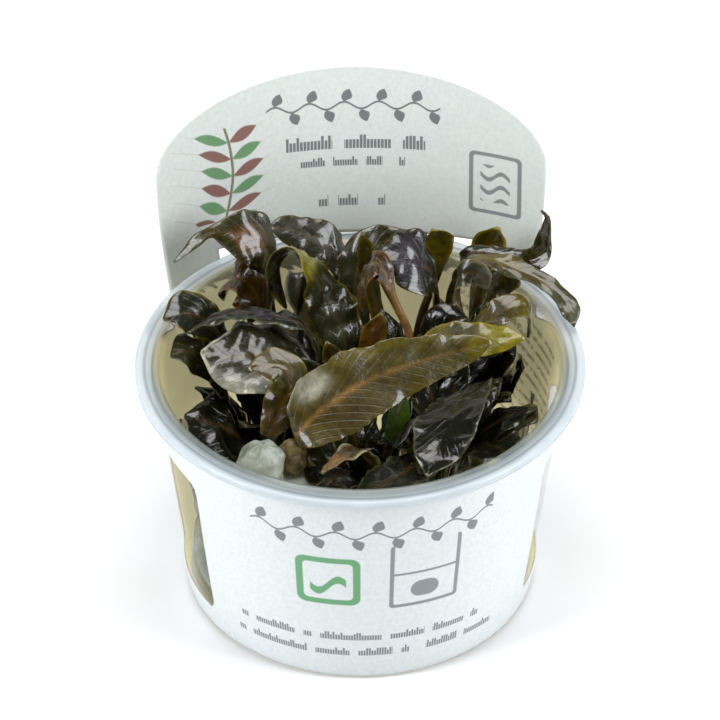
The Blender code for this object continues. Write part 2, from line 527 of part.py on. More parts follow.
def smooth_way(knots, count):
    """Points along a Catmull-Rom curve through the knots, closer together in the blade than in the stalk."""
    knots = np.asarray(knots, float)
    padded = np.vstack([2.0 * knots[0] - knots[1], knots, 2.0 * knots[-1] - knots[-2]])
    fine = []
    for i in range(1, len(padded) - 2):
        t = np.linspace(0.0, 1.0, 16, endpoint=False)[:, None]
        a, b, c, d = padded[i - 1], padded[i], padded[i + 1], padded[i + 2]
        fine.append(0.5 * (2.0 * b + (c - a) * t + (2.0 * a - 5.0 * b + 4.0 * c - d) * t ** 2
                           + (3.0 * b - a - 3.0 * c + d) * t ** 3))
    fine = np.vstack(fine + [knots[-1:]])
    steps = np.linalg.norm(np.diff(fine[:, :3], axis=0), axis=1)
    steps *= np.where(fine[1:, 3] < 2.5, STALK_STEPS, 1.0)
    run = np.concatenate([[0.0], np.cumsum(steps)])
    even = np.linspace(0.0, run[-1], count)
    return np.stack([np.interp(even, run, fine[:, k]) for k in range(fine.shape[1])], axis=1)


def leaf_foot(leaf):
    """The two lowest knots of a leaf: it leaves its rootstock sideways and turns up."""
    x, y, z = CROWNS[leaf["crown"]]
    turn = math.radians(leaf["foot"])
    out = np.array([math.cos(turn), math.sin(turn), 0.0])
    rise = leaf.get("rise", 0.0)
    start = np.array([x, y, z]) + out * (CROWN_RADIUS + GAP + 0.5 * STALK + 0.2) + (0.0, 0.0, 1.2 + rise)
    return [(*start, STALK), (*(start + out * 0.6 + (0.0, 0.0, 3.5)), STALK)]


def leaf_rings(leaf, stations, sides):
    """Rings of one leaf: an ellipse carried along the midrib, round in the stalk, thin and wide in the
    blade, bent about the midrib by the cup angle and rippled towards its margins."""
    knots = leaf_foot(leaf) + list(leaf["way"])
    way = smooth_way(knots, stations)
    middle, width = way[:, :3], np.maximum(way[:, 3], 0.3)
    along = np.gradient(middle, axis=0)
    along /= np.linalg.norm(along, axis=1)[:, None]
    given = np.asarray(leaf["side"], float)
    share = np.linspace(0.0, 1.0, stations)
    at = np.linspace(0.0, 1.0, len(given)) if len(given) > 1 else None
    side = np.stack([np.interp(share, at, given[:, k]) for k in range(3)], axis=1) if len(given) > 1 \
        else np.repeat(given, stations, axis=0)
    side -= along * np.sum(side * along, axis=1)[:, None]
    side /= np.linalg.norm(side, axis=1)[:, None]
    upper = np.cross(along, side)
    widest = width.max()
    blade = smoothstep((width - STALK) / (0.35 * widest))
    past = smoothstep((share - 0.5) / 0.3)
    thick = 0.5 * (STALK + (BLADE_THICK - STALK) * np.maximum(blade, past))
    thick = np.minimum(thick, 0.5 * np.maximum(width, 0.5))
    around = np.linspace(0.0, 2.0 * math.pi, sides, endpoint=False)
    across = np.cos(around)[None, :]
    lift = np.sin(around)[None, :] * thick[:, None]
    bend = math.radians(leaf.get("cup", 0.0)) * (width / widest)[:, None] + 1e-6
    half = 0.5 * width[:, None]
    reach = half / bend * np.sin(bend * across)
    rise = half / bend * (1.0 - np.cos(bend * across))
    height, count = leaf.get("wave", (0.0, 0))
    phase = 2.0 * math.pi * count * share[:, None] + np.sign(across) * 0.9
    rise = rise + height * np.sin(phase) * across ** 2 * (blade * width / widest)[:, None]
    return (middle[:, None, :] + side[:, None, :] * reach[:, :, None]
            + upper[:, None, :] * (rise + lift)[:, :, None])


def make_leaf(name, leaf, material):
    """One leaf with its stalk as one closed body."""
    stations = len(leaf["way"]) + EXTRA_STATIONS
    return new_object(name, *closed_loft(leaf_rings(leaf, stations, LEAF_SIDES)), material)


def main():
    for obj in list(bpy.data.objects):
        bpy.data.objects.remove(obj)
    clear = plain_material("clear_plastic", (0.86, 0.9, 0.93), 0.12, 0.9)
    card = plain_material("white_card", (0.86, 0.87, 0.86), 0.45)
    gel = plain_material("gel", (0.72, 0.76, 0.7), 0.15, 0.6)
    stock = plain_material("rootstock", (0.3, 0.25, 0.13), 0.5)
    leaf_skin = plain_material("leaf", (0.07, 0.07, 0.02), 0.25)
    make_cup(clear)
    make_sleeve(card)
    make_gel(gel)
    make_lump(gel)
    for name, place in CROWNS.items():
        make_crown("rootstock_" + name, place, stock)
    for name, leaf in LEAVES.items():
        make_leaf(name, leaf, leaf_skin)


main()
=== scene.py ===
"""Looks for an aquarium plant in its growing cup: crowded plantlets of dark, crinkled leaves, rooted in gel
in a clear plastic cup with a white card sleeve round it.

Lengths are in millimetres until a mesh is made. +Z is up, the origin is the middle of the cup's flat base,
the sleeve's tall tab stands behind the plant at +Y, and -Y is the front.
"""
import math

import bmesh
import bpy
import numpy as np
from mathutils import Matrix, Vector


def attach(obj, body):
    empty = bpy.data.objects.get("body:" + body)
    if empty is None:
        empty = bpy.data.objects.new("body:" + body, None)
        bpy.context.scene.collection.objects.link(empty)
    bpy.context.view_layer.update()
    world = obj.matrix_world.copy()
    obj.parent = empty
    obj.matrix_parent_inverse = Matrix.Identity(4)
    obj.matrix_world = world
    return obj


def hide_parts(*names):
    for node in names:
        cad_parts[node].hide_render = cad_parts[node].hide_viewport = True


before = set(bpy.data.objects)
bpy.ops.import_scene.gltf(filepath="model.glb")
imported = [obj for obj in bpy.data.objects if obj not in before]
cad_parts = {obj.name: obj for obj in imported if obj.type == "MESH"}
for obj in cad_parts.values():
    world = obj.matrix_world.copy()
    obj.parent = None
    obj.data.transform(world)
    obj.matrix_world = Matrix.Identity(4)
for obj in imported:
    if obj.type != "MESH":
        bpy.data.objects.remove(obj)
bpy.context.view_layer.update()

# The growing cup
# A thin bowl of clear plastic, pressed from one sheet: a flat base with a rounded corner, a wall that
# flares a little, and a stiff flange round the mouth, with a raised bead and a turned-down lip.

MM = 0.001
GAP = 0.35
CUP_TALL = 44.0
FLANGE_RADIUS = 37.5
MOUTH_RADIUS = 32.7
LIP_DROP = 1.5
WALL = 0.8
BASE_RADIUS = 23.5
BASE_CORNER = 6.0
SLEEVE_BASE = 29.1
SLEEVE_FLARE = 5.3
SLEEVE_BELLY = 0.8
SLEEVE_TOP = 42.6
CUP_COLUMNS = 192
WALL_SHOWS = 0.13
WALL_SHADE_SHOWS = 0.42
WALL_SHADE_START = 16.0
FLANGE_SHOWS = 0.66
FLANGE_TINT = (33.6, 36.6)
BEAD_LINES = (34.6, 35.9)


def ink(colour):
    """A colour given in display values from 0 to 255 as the linear values that a shader takes."""
    share = np.asarray(colour, float) / 255.0
    return np.where(share <= 0.04045, share / 12.92, ((share + 0.055) / 1.055) ** 2.4)


def smoothstep(t):
    """Rises from 0 to 1 as t goes from 0 to 1, level at both ends: 3 t^2 - 2 t^3."""
    t = np.clip(t, 0.0, 1.0)
    return t * t * (3.0 - 2.0 * t)


def surface(name, points, material, **values):
    """The object for a closed mesh over a grid of points, whose columns go round the piece, and whose end
    rows close in a pole at their middle. Every value given is a number, a place or a colour for each point,
    kept as an attribute of that name for the material to read."""
    rows, columns = points.shape[:2]
    index = np.arange(rows * columns).reshape(rows, columns)
    grid = np.hstack([index, index[:, :1]])
    faces = np.stack([grid[:-1, :-1], grid[:-1, 1:], grid[1:, 1:], grid[1:, :-1]], axis=-1)
    faces = faces.reshape(-1, 4).tolist()
    pole = np.full(columns, rows * columns)
    faces += np.stack([pole, grid[0, 1:], grid[0, :-1]], axis=-1).tolist()
    faces += np.stack([pole + 1, grid[-1, :-1], grid[-1, 1:]], axis=-1).tolist()
    mesh = bpy.data.meshes.new(name)
    mesh.from_pydata((with_poles(points) * MM).tolist(), [], faces)
    for value_name, value in values.items():
        keep_values(mesh, value_name, with_poles(value.reshape(rows, columns, -1)))
    return finished(name, mesh, material)


def with_poles(grid):
    """The grid's entries in one list, followed by the means of its first and last row."""
    return np.vstack([grid.reshape(-1, grid.shape[2]), grid[0].mean(axis=0), grid[-1].mean(axis=0)])


def keep_values(mesh, name, flat):
    """Stores one number, place or colour for each point of a mesh."""
    kinds = {1: ("FLOAT", "value"), 3: ("FLOAT_VECTOR", "vector"), 4: ("FLOAT_COLOR", "color")}
    kind, field = kinds[flat.shape[1]]
    attribute = mesh.attributes.new(name, kind, "POINT")
    attribute.data.foreach_set(field, np.ascontiguousarray(flat, np.float32).ravel())


def finished(name, mesh, material):
    """The object for a mesh, smooth, with its faces turned outwards, riding on the part's one body."""
    work = bmesh.new()
    work.from_mesh(mesh)
    bmesh.ops.recalc_face_normals(work, faces=work.faces)
    work.to_mesh(mesh)
    work.free()
    mesh.shade_smooth()
    mesh.materials.append(material)
    piece = bpy.data.objects.new(name, mesh)
    bpy.context.scene.collection.objects.link(piece)
    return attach(piece, "root")


class Wire:
    """A shader socket that takes part in sums: each operator adds a Math node to the socket's tree."""

    def __init__(self, tree, socket):
        self.tree = tree
        self.socket = socket

    def node(self, kind, settings=None, values=None, output=0):
        """Adds any other node: its settings come first, then its sockets get their values or links."""
        added = self.tree.nodes.new(kind)
        for setting, value in (settings or {}).items():
            setattr(added, setting, value)
        for socket, value in (values or {}).items():
            if isinstance(value, Wire):
                self.tree.links.new(value.socket, added.inputs[socket])
            else:
                added.inputs[socket].default_value = value
        return Wire(self.tree, added.outputs[output])

    def math(self, operation, first, second=0.0, clamp=False):
        return self.node("ShaderNodeMath", {"operation": operation, "use_clamp": clamp},
                         {0: first, 1: second})

    def __add__(self, other):
        return self.math("ADD", self, other)

    __radd__ = __add__

    def __mul__(self, other):
        return self.math("MULTIPLY", self, other)

    __rmul__ = __mul__

    def __sub__(self, other):
        return self.math("SUBTRACT", self, other)

    def __rsub__(self, other):
        return self.math("SUBTRACT", other, self)

    def __truediv__(self, other):
        return self.math("DIVIDE", self, other)

    def __pow__(self, other):
        return self.math("POWER", self, other)

    def __abs__(self):
        return self.math("ABSOLUTE", self)

    def rise(self, low, high):
        """From 0 where this is low to 1 where it is high, and held there beyond."""
        return self.math("MULTIPLY", self - low, 1.0 / (high - low), clamp=True)

    def most(self, other):
        return self.math("MAXIMUM", self, other)

    def least(self, other):
        return self.math("MINIMUM", self, other)

    def noise(self, scale, detail=2.0, rough=0.5):
        """Cloudy noise about 0.5 over this place, with so many swells to a unit of length."""
        return self.node("ShaderNodeTexNoise", None, {"Vector": self, "Scale": scale, "Detail": detail,
                                                      "Roughness": rough})

    def axes(self):
        """The three numbers of this place."""
        split = self.node("ShaderNodeSeparateXYZ", None, {0: self})
        return [Wire(self.tree, split.socket.node.outputs[k]) for k in range(3)]

    def blend(self, under, over):
        """Where this mask is 0 the colour under, where it is 1 the colour over."""
        colours = {6 + k: c if isinstance(c, Wire) else (*ink(c), 1.0) for k, c in enumerate((under, over))}
        return self.node("ShaderNodeMix", {"data_type": "RGBA"}, {0: self, **colours}, output=2)


def new_look(name, **fixed):
    """A material whose shader has these fixed values; returns it with its shader and object coordinates."""
    material = bpy.data.materials.new(name)
    material.use_nodes = True
    shader = material.node_tree.nodes["Principled BSDF"]
    for socket, value in fixed.items():
        shader.inputs[socket.replace("_", " ")].default_value = value
    start = Wire(material.node_tree, None)
    return material, shader, start.node("ShaderNodeTexCoord", output="Object")


def feed(shader, **wires):
    """Links wires to the shader's sockets of those names."""
    for socket, wire in wires.items():
        wire.tree.links.new(wire.socket, shader.inputs[socket.replace("_", " ")])


def dent(height, strength, distance):
    """The normal of a surface with this relief; distance is the relief's depth in metres."""
    return height.node("ShaderNodeBump", None, {"Height": height, "Strength": strength, "Distance": distance})


def kept(place, name, output):
    """A value that the mesh keeps for each point: output is Fac, Vector or Color."""
    return place.node("ShaderNodeAttribute", {"attribute_name": name}, output=output)


def sleeve_radius(z):
    """Inner radius of the sleeve's cone at a height, and the cup's wall stands GAP inside it."""
    return SLEEVE_BASE + SLEEVE_FLARE * (np.maximum(z, 0.0) / SLEEVE_TOP) ** SLEEVE_BELLY


def full_turn(columns):
    """A row of so many even steps round an axis."""
    return np.linspace(0.0, 2.0 * math.pi, columns, endpoint=False)[None, :]


def turned(profile, columns):
    """Points of a turned piece: each (radius, height) of the profile goes round the upright axis."""
    turn = full_turn(columns)
    radius, height = np.asarray(profile)[:, :1], np.asarray(profile)[:, 1:2]
    return np.stack([radius * np.cos(turn), radius * np.sin(turn), height + 0.0 * turn], axis=-1)


corner = np.linspace(0.0, 0.5 * math.pi, 10)
corner_start = sleeve_radius(BASE_CORNER) - GAP
wall_z = np.linspace(8.0, CUP_TALL - WALL - 1.0, 12)
outside = np.concatenate([
    [(0.5, 0.0), (12.0, 0.0)],
    np.stack([BASE_RADIUS + (corner_start - BASE_RADIUS) * np.sin(corner),
              BASE_CORNER * (1.0 - np.cos(corner))], axis=1),
    np.stack([np.minimum(sleeve_radius(wall_z) - GAP, MOUTH_RADIUS + WALL + 0.3), wall_z], axis=1)])
lip = CUP_TALL - LIP_DROP
flange = np.array([
    (34.3, CUP_TALL - WALL), (36.6, CUP_TALL - WALL), (36.8, CUP_TALL - 1.0), (36.85, lip),
    (37.1, lip - 0.02), (FLANGE_RADIUS, lip + 0.2), (FLANGE_RADIUS, CUP_TALL - 0.5),
    (37.35, CUP_TALL - 0.15), (37.0, CUP_TALL), (36.6, CUP_TALL - 0.06), (36.3, CUP_TALL - 0.3),
    (35.9, CUP_TALL - 0.34), (35.0, CUP_TALL - 0.34), (34.6, CUP_TALL - 0.25), (34.3, CUP_TALL - 0.02),
    (33.9, CUP_TALL), (33.5, CUP_TALL - 0.3), (33.15, CUP_TALL - 1.0), (32.85, CUP_TALL - 2.0)])
inner_z = wall_z[::-1][1:]
inside = np.concatenate([
    np.stack([sleeve_radius(inner_z) - GAP - WALL, inner_z], axis=1),
    np.stack([BASE_RADIUS + (corner_start - WALL - BASE_RADIUS) * np.sin(corner[::-1]),
              WALL + (BASE_CORNER - WALL) * (1.0 - np.cos(corner[::-1]))], axis=1),
    [(12.0, WALL), (0.5, WALL)]])
cup_profile = np.concatenate([outside, flange, inside])
cup_radius, cup_z = cup_profile[:, :1], cup_profile[:, 1:]
in_flange = smoothstep((cup_z - (CUP_TALL - 2.6)) / 1.6) * smoothstep((cup_radius - 32.8) / 0.9)
cup_turn = full_turn(CUP_COLUMNS)
# Over the wall's back half, from 16 mm up, the plastic is made less clear and takes the tint below: painted
# shade, with the warm light from the leaves, on the sleeve's inner face behind it.
wall_shade = smoothstep((cup_z - WALL_SHADE_START) / 10.0) * smoothstep(0.5 + 2.5 * np.sin(cup_turn))
shows = np.maximum(WALL_SHOWS + (FLANGE_SHOWS - WALL_SHOWS) * in_flange, WALL_SHADE_SHOWS * wall_shade)

plastic, plastic_shader, cup_place = new_look("clear_plastic_cup", Roughness=0.12, IOR=1.5)
ripple = cup_place.noise(160.0, 1.0)
x, y = cup_place.axes()[:2]
radius = (x * x + y * y) ** 0.5
band = radius.rise(FLANGE_TINT[0] * MM, FLANGE_TINT[1] * MM)
# Two thin blue-grey rings over the bead's edges are painted shade, where the bead bends the light away.
inner_line, outer_line = (abs(radius - line * MM) for line in BEAD_LINES)
bead_edge_shade = (1.0 - inner_line.rise(0.0, 0.0003)).most(1.0 - outer_line.rise(0.0001, 0.0004))
# The wall's tint is painted shade: grey at the front, and khaki at the back, warmed by the light from the
# leaves.
wall_shade_tint = y.rise(-0.006, 0.004).blend((96, 104, 92), ripple.blend((142, 134, 96), (166, 158, 120)))
tinted = band.blend(wall_shade_tint, ripple.blend((186, 198, 204), (212, 221, 226)))
feed(plastic_shader,
     Base_Color=(bead_edge_shade * 0.55).blend(tinted, (92, 106, 124)),
     Alpha=kept(cup_place, "shows", "Fac"),
     Roughness=0.08 + ripple * 0.1,
     Normal=dent(ripple, 0.25, 0.0006))
cup = surface("growing_cup", turned(cup_profile, CUP_COLUMNS), plastic, shows=shows)
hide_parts("cup")

# The gel bed
# A firm, clear nutrient jelly, poured warm into the cup and set: it fills the corner and ends in a level
# top that the plantlets' rootstocks stand on.

GEL_TOP = 7.0
GEL_SHOULDER = 6.8
GEL_INSET = 0.6
GEL_SWELL = 0.3


def cup_inside(z):
    """Inner radius of the cup at a height: an upright quarter of an ellipse in its rounded corner, and
    above that the wall."""
    rise = 1.0 - (np.minimum(z, BASE_CORNER) - WALL) / (BASE_CORNER - WALL)
    corner_share = np.sqrt(np.maximum(0.0, 1.0 - rise * rise))
    corner_reach = BASE_RADIUS + (corner_start - WALL - BASE_RADIUS) * corner_share
    return np.where(z < BASE_CORNER, corner_reach, sleeve_radius(z) - GAP - WALL)


side_z = np.array([2.0, 3.0, 4.2, 5.4, 6.4, 6.9, GEL_TOP])
side_radius = cup_inside(side_z) - GEL_INSET - np.where(side_z > GEL_SHOULDER, GEL_INSET, 0.0)
gel_profile = np.concatenate([[(1.0, 1.2), (18.0, 1.2), (22.0, 1.25)],
                              np.stack([side_radius, side_z], axis=1),
                              [(27.0, GEL_TOP), (18.0, GEL_TOP), (1.0, GEL_TOP)]])
gel_points = turned(gel_profile, 96)
gel_swell = np.sin(gel_points[..., 0] * 0.31) * np.cos(gel_points[..., 1] * 0.27) * GEL_SWELL
gel_points[..., 2] -= np.where(gel_points[..., 2] > GEL_SHOULDER, GEL_SWELL + gel_swell, 0.0)

jelly, jelly_shader, jelly_place = new_look("nutrient_gel", Roughness=0.1, Alpha=0.75, IOR=1.34)
cloud = jelly_place.noise(220.0, 3.0)
feed(jelly_shader,
     Base_Color=cloud.rise(0.35, 0.65).blend((150, 158, 140), (205, 210, 196)),
     Normal=dent(cloud, 0.5, 0.0012))
gel_bed = surface("set_gel", gel_points, jelly)
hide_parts("gel_bed")

# The gel lump
# A torn clot of the same jelly, whitish with air and fine roots, that came up under the front left
# plantlet: a post that its rootstock stands on, with a knob that shows just inside the rim.

LUMP = [(7.35, -13.5, -16.0, 4.6), (9.0, -13.5, -16.0, 5.4), (18.0, -13.5, -16.0, 5.8),
        (30.0, -13.6, -16.0, 5.7), (31.6, -13.8, -16.2, 5.2), (32.2, -16.0, -18.2, 4.2),
        (34.0, -17.4, -19.2, 4.0), (37.0, -17.6, -19.4, 4.2), (39.5, -17.2, -18.9, 3.6),
        (40.8, -16.9, -18.5, 2.4), (41.3, -16.8, -18.4, 0.8)]


def along(stations, count):
    """Even steps along a line of stations, each a row of numbers: straight between them."""
    stations = np.asarray(stations, float)
    at = np.linspace(0.0, len(stations) - 1.0, count)
    return np.stack([np.interp(at, np.arange(len(stations)), row) for row in stations.T], axis=1)


lump_z, lump_x, lump_y, lump_thick = np.split(along(LUMP, 64), 4, axis=1)
lump_turn = full_turn(56)
lump_radius = lump_thick * (
    1.0 + 0.08 * np.sin(2.0 * lump_turn + 0.5 * lump_z) + 0.05 * np.sin(5.0 * lump_turn - 0.9 * lump_z)
    + 0.015 * np.sin(13.0 * lump_turn + 2.3 * lump_z))
lump_points = np.stack([lump_x + lump_radius * np.cos(lump_turn),
                        lump_y + lump_radius * np.sin(lump_turn),
                        lump_z + 0.25 * np.sin(5.0 * lump_turn + lump_z)], axis=-1)
lump_points[..., 2] = np.maximum(lump_points[..., 2], GEL_TOP + GAP)

clot, clot_shader, clot_place = new_look("torn_gel", Roughness=0.12, Alpha=0.72, IOR=1.34)
clot_cloud = clot_place.noise(260.0, 3.0)
feed(clot_shader,
     Base_Color=clot_cloud.rise(0.3, 0.7).blend((104, 110, 88), (186, 194, 186)),
     Normal=dent(clot_cloud, 0.8, 0.0012))
lump = surface("torn_gel_lump", lump_points, clot)
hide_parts("gel_lump")

# The rootstocks
# Each plantlet grows from a short knobbly stub, brown and green where its leaves leave it, with the
# scars of old leaves round it, and its roots run down into the gel out of sight.

CROWN_RADIUS = 2.4
CROWNS = {
    "back": (-6.0, 14.0, GEL_TOP + GAP),
    "left": (-15.0, 5.0, GEL_TOP + GAP),
    "right": (9.5, 12.0, GEL_TOP + GAP),
    "corner": (18.5, 13.5, GEL_TOP + GAP),
    "middle": (14.0, 0.0, GEL_TOP + GAP),
    "front": (1.0, -10.0, GEL_TOP + GAP),
    "lump": (-12.0, -14.0, 32.5),
}

STUB = [(0.0, 1.75), (1.0, 2.2), (2.2, CROWN_RADIUS), (3.8, 2.25), (5.0, 1.6), (5.8, 0.9), (6.0, 0.4)]

stub_z, stub_thick = np.split(along(STUB, 26), 2, axis=1)
stub_turn = full_turn(32)
stub_radius = stub_thick * (
    1.0 + 0.06 * np.sin(4.0 * stub_turn + 2.0 * stub_z) + 0.05 * np.sin(9.0 * stub_turn - 4.0 * stub_z))
stub = np.stack([stub_radius * np.cos(stub_turn), stub_radius * np.sin(stub_turn),
                 stub_z + 0.0 * stub_turn], axis=-1)

bark, bark_shader, bark_place = new_look("rootstock_skin", Roughness=0.45)
bark_grain = bark_place.noise(700.0, 4.0)
feed(bark_shader,
     Base_Color=bark_grain.rise(0.35, 0.65).blend((58, 48, 26), (120, 104, 62)),
     Normal=dent(bark_grain, 0.6, 0.0006))
for name, middle in CROWNS.items():
    rootstock = surface("knobbly_rootstock_" + name, stub + np.asarray(middle), bark)
    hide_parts("rootstock_" + name)

# The leaves
# Narrow, leathery blades on thin stalks, wet and shiny, brown and olive above and paler beneath, with a
# midrib, arching side veins, hammered skin between them and margins that ripple. All grew at once, so one
# function shapes every leaf from the way of its midrib, and a table holds what differs.

STALK = 1.3
SKIN_THICK = 0.42
ROW_STEP = 0.36
BARE_WIDTH = 2.2
BARE_WEIGHT = 0.45
HALF_COLUMNS = 22
VEIN_STEP = 2.6
VEIN_SLANT = 1.7
GROOVE_HALF = 0.55
RIB_HALF = 0.3
EDGE_TINT = 0.75

COLOURS = {
    "olive": (68, 58, 4),
    "yellow_olive": (100, 90, 6),
    "yellow_green": (142, 134, 12),
    "dark_olive": (40, 41, 9),
    "black_olive": (18, 20, 7),
    "grey_purple": (42, 42, 27),
    "purple": (58, 48, 64),
    "dark_grey": (27, 30, 16),
    "grey_green": (74, 78, 56),
    "brown": (60, 42, 9),
    "orange": (104, 66, 12),
    "tan": (140, 104, 56),
    "pale": (160, 156, 122),
    "beige": (118, 108, 74),
    "green": (74, 108, 10),
    "white": (196, 196, 182),
}

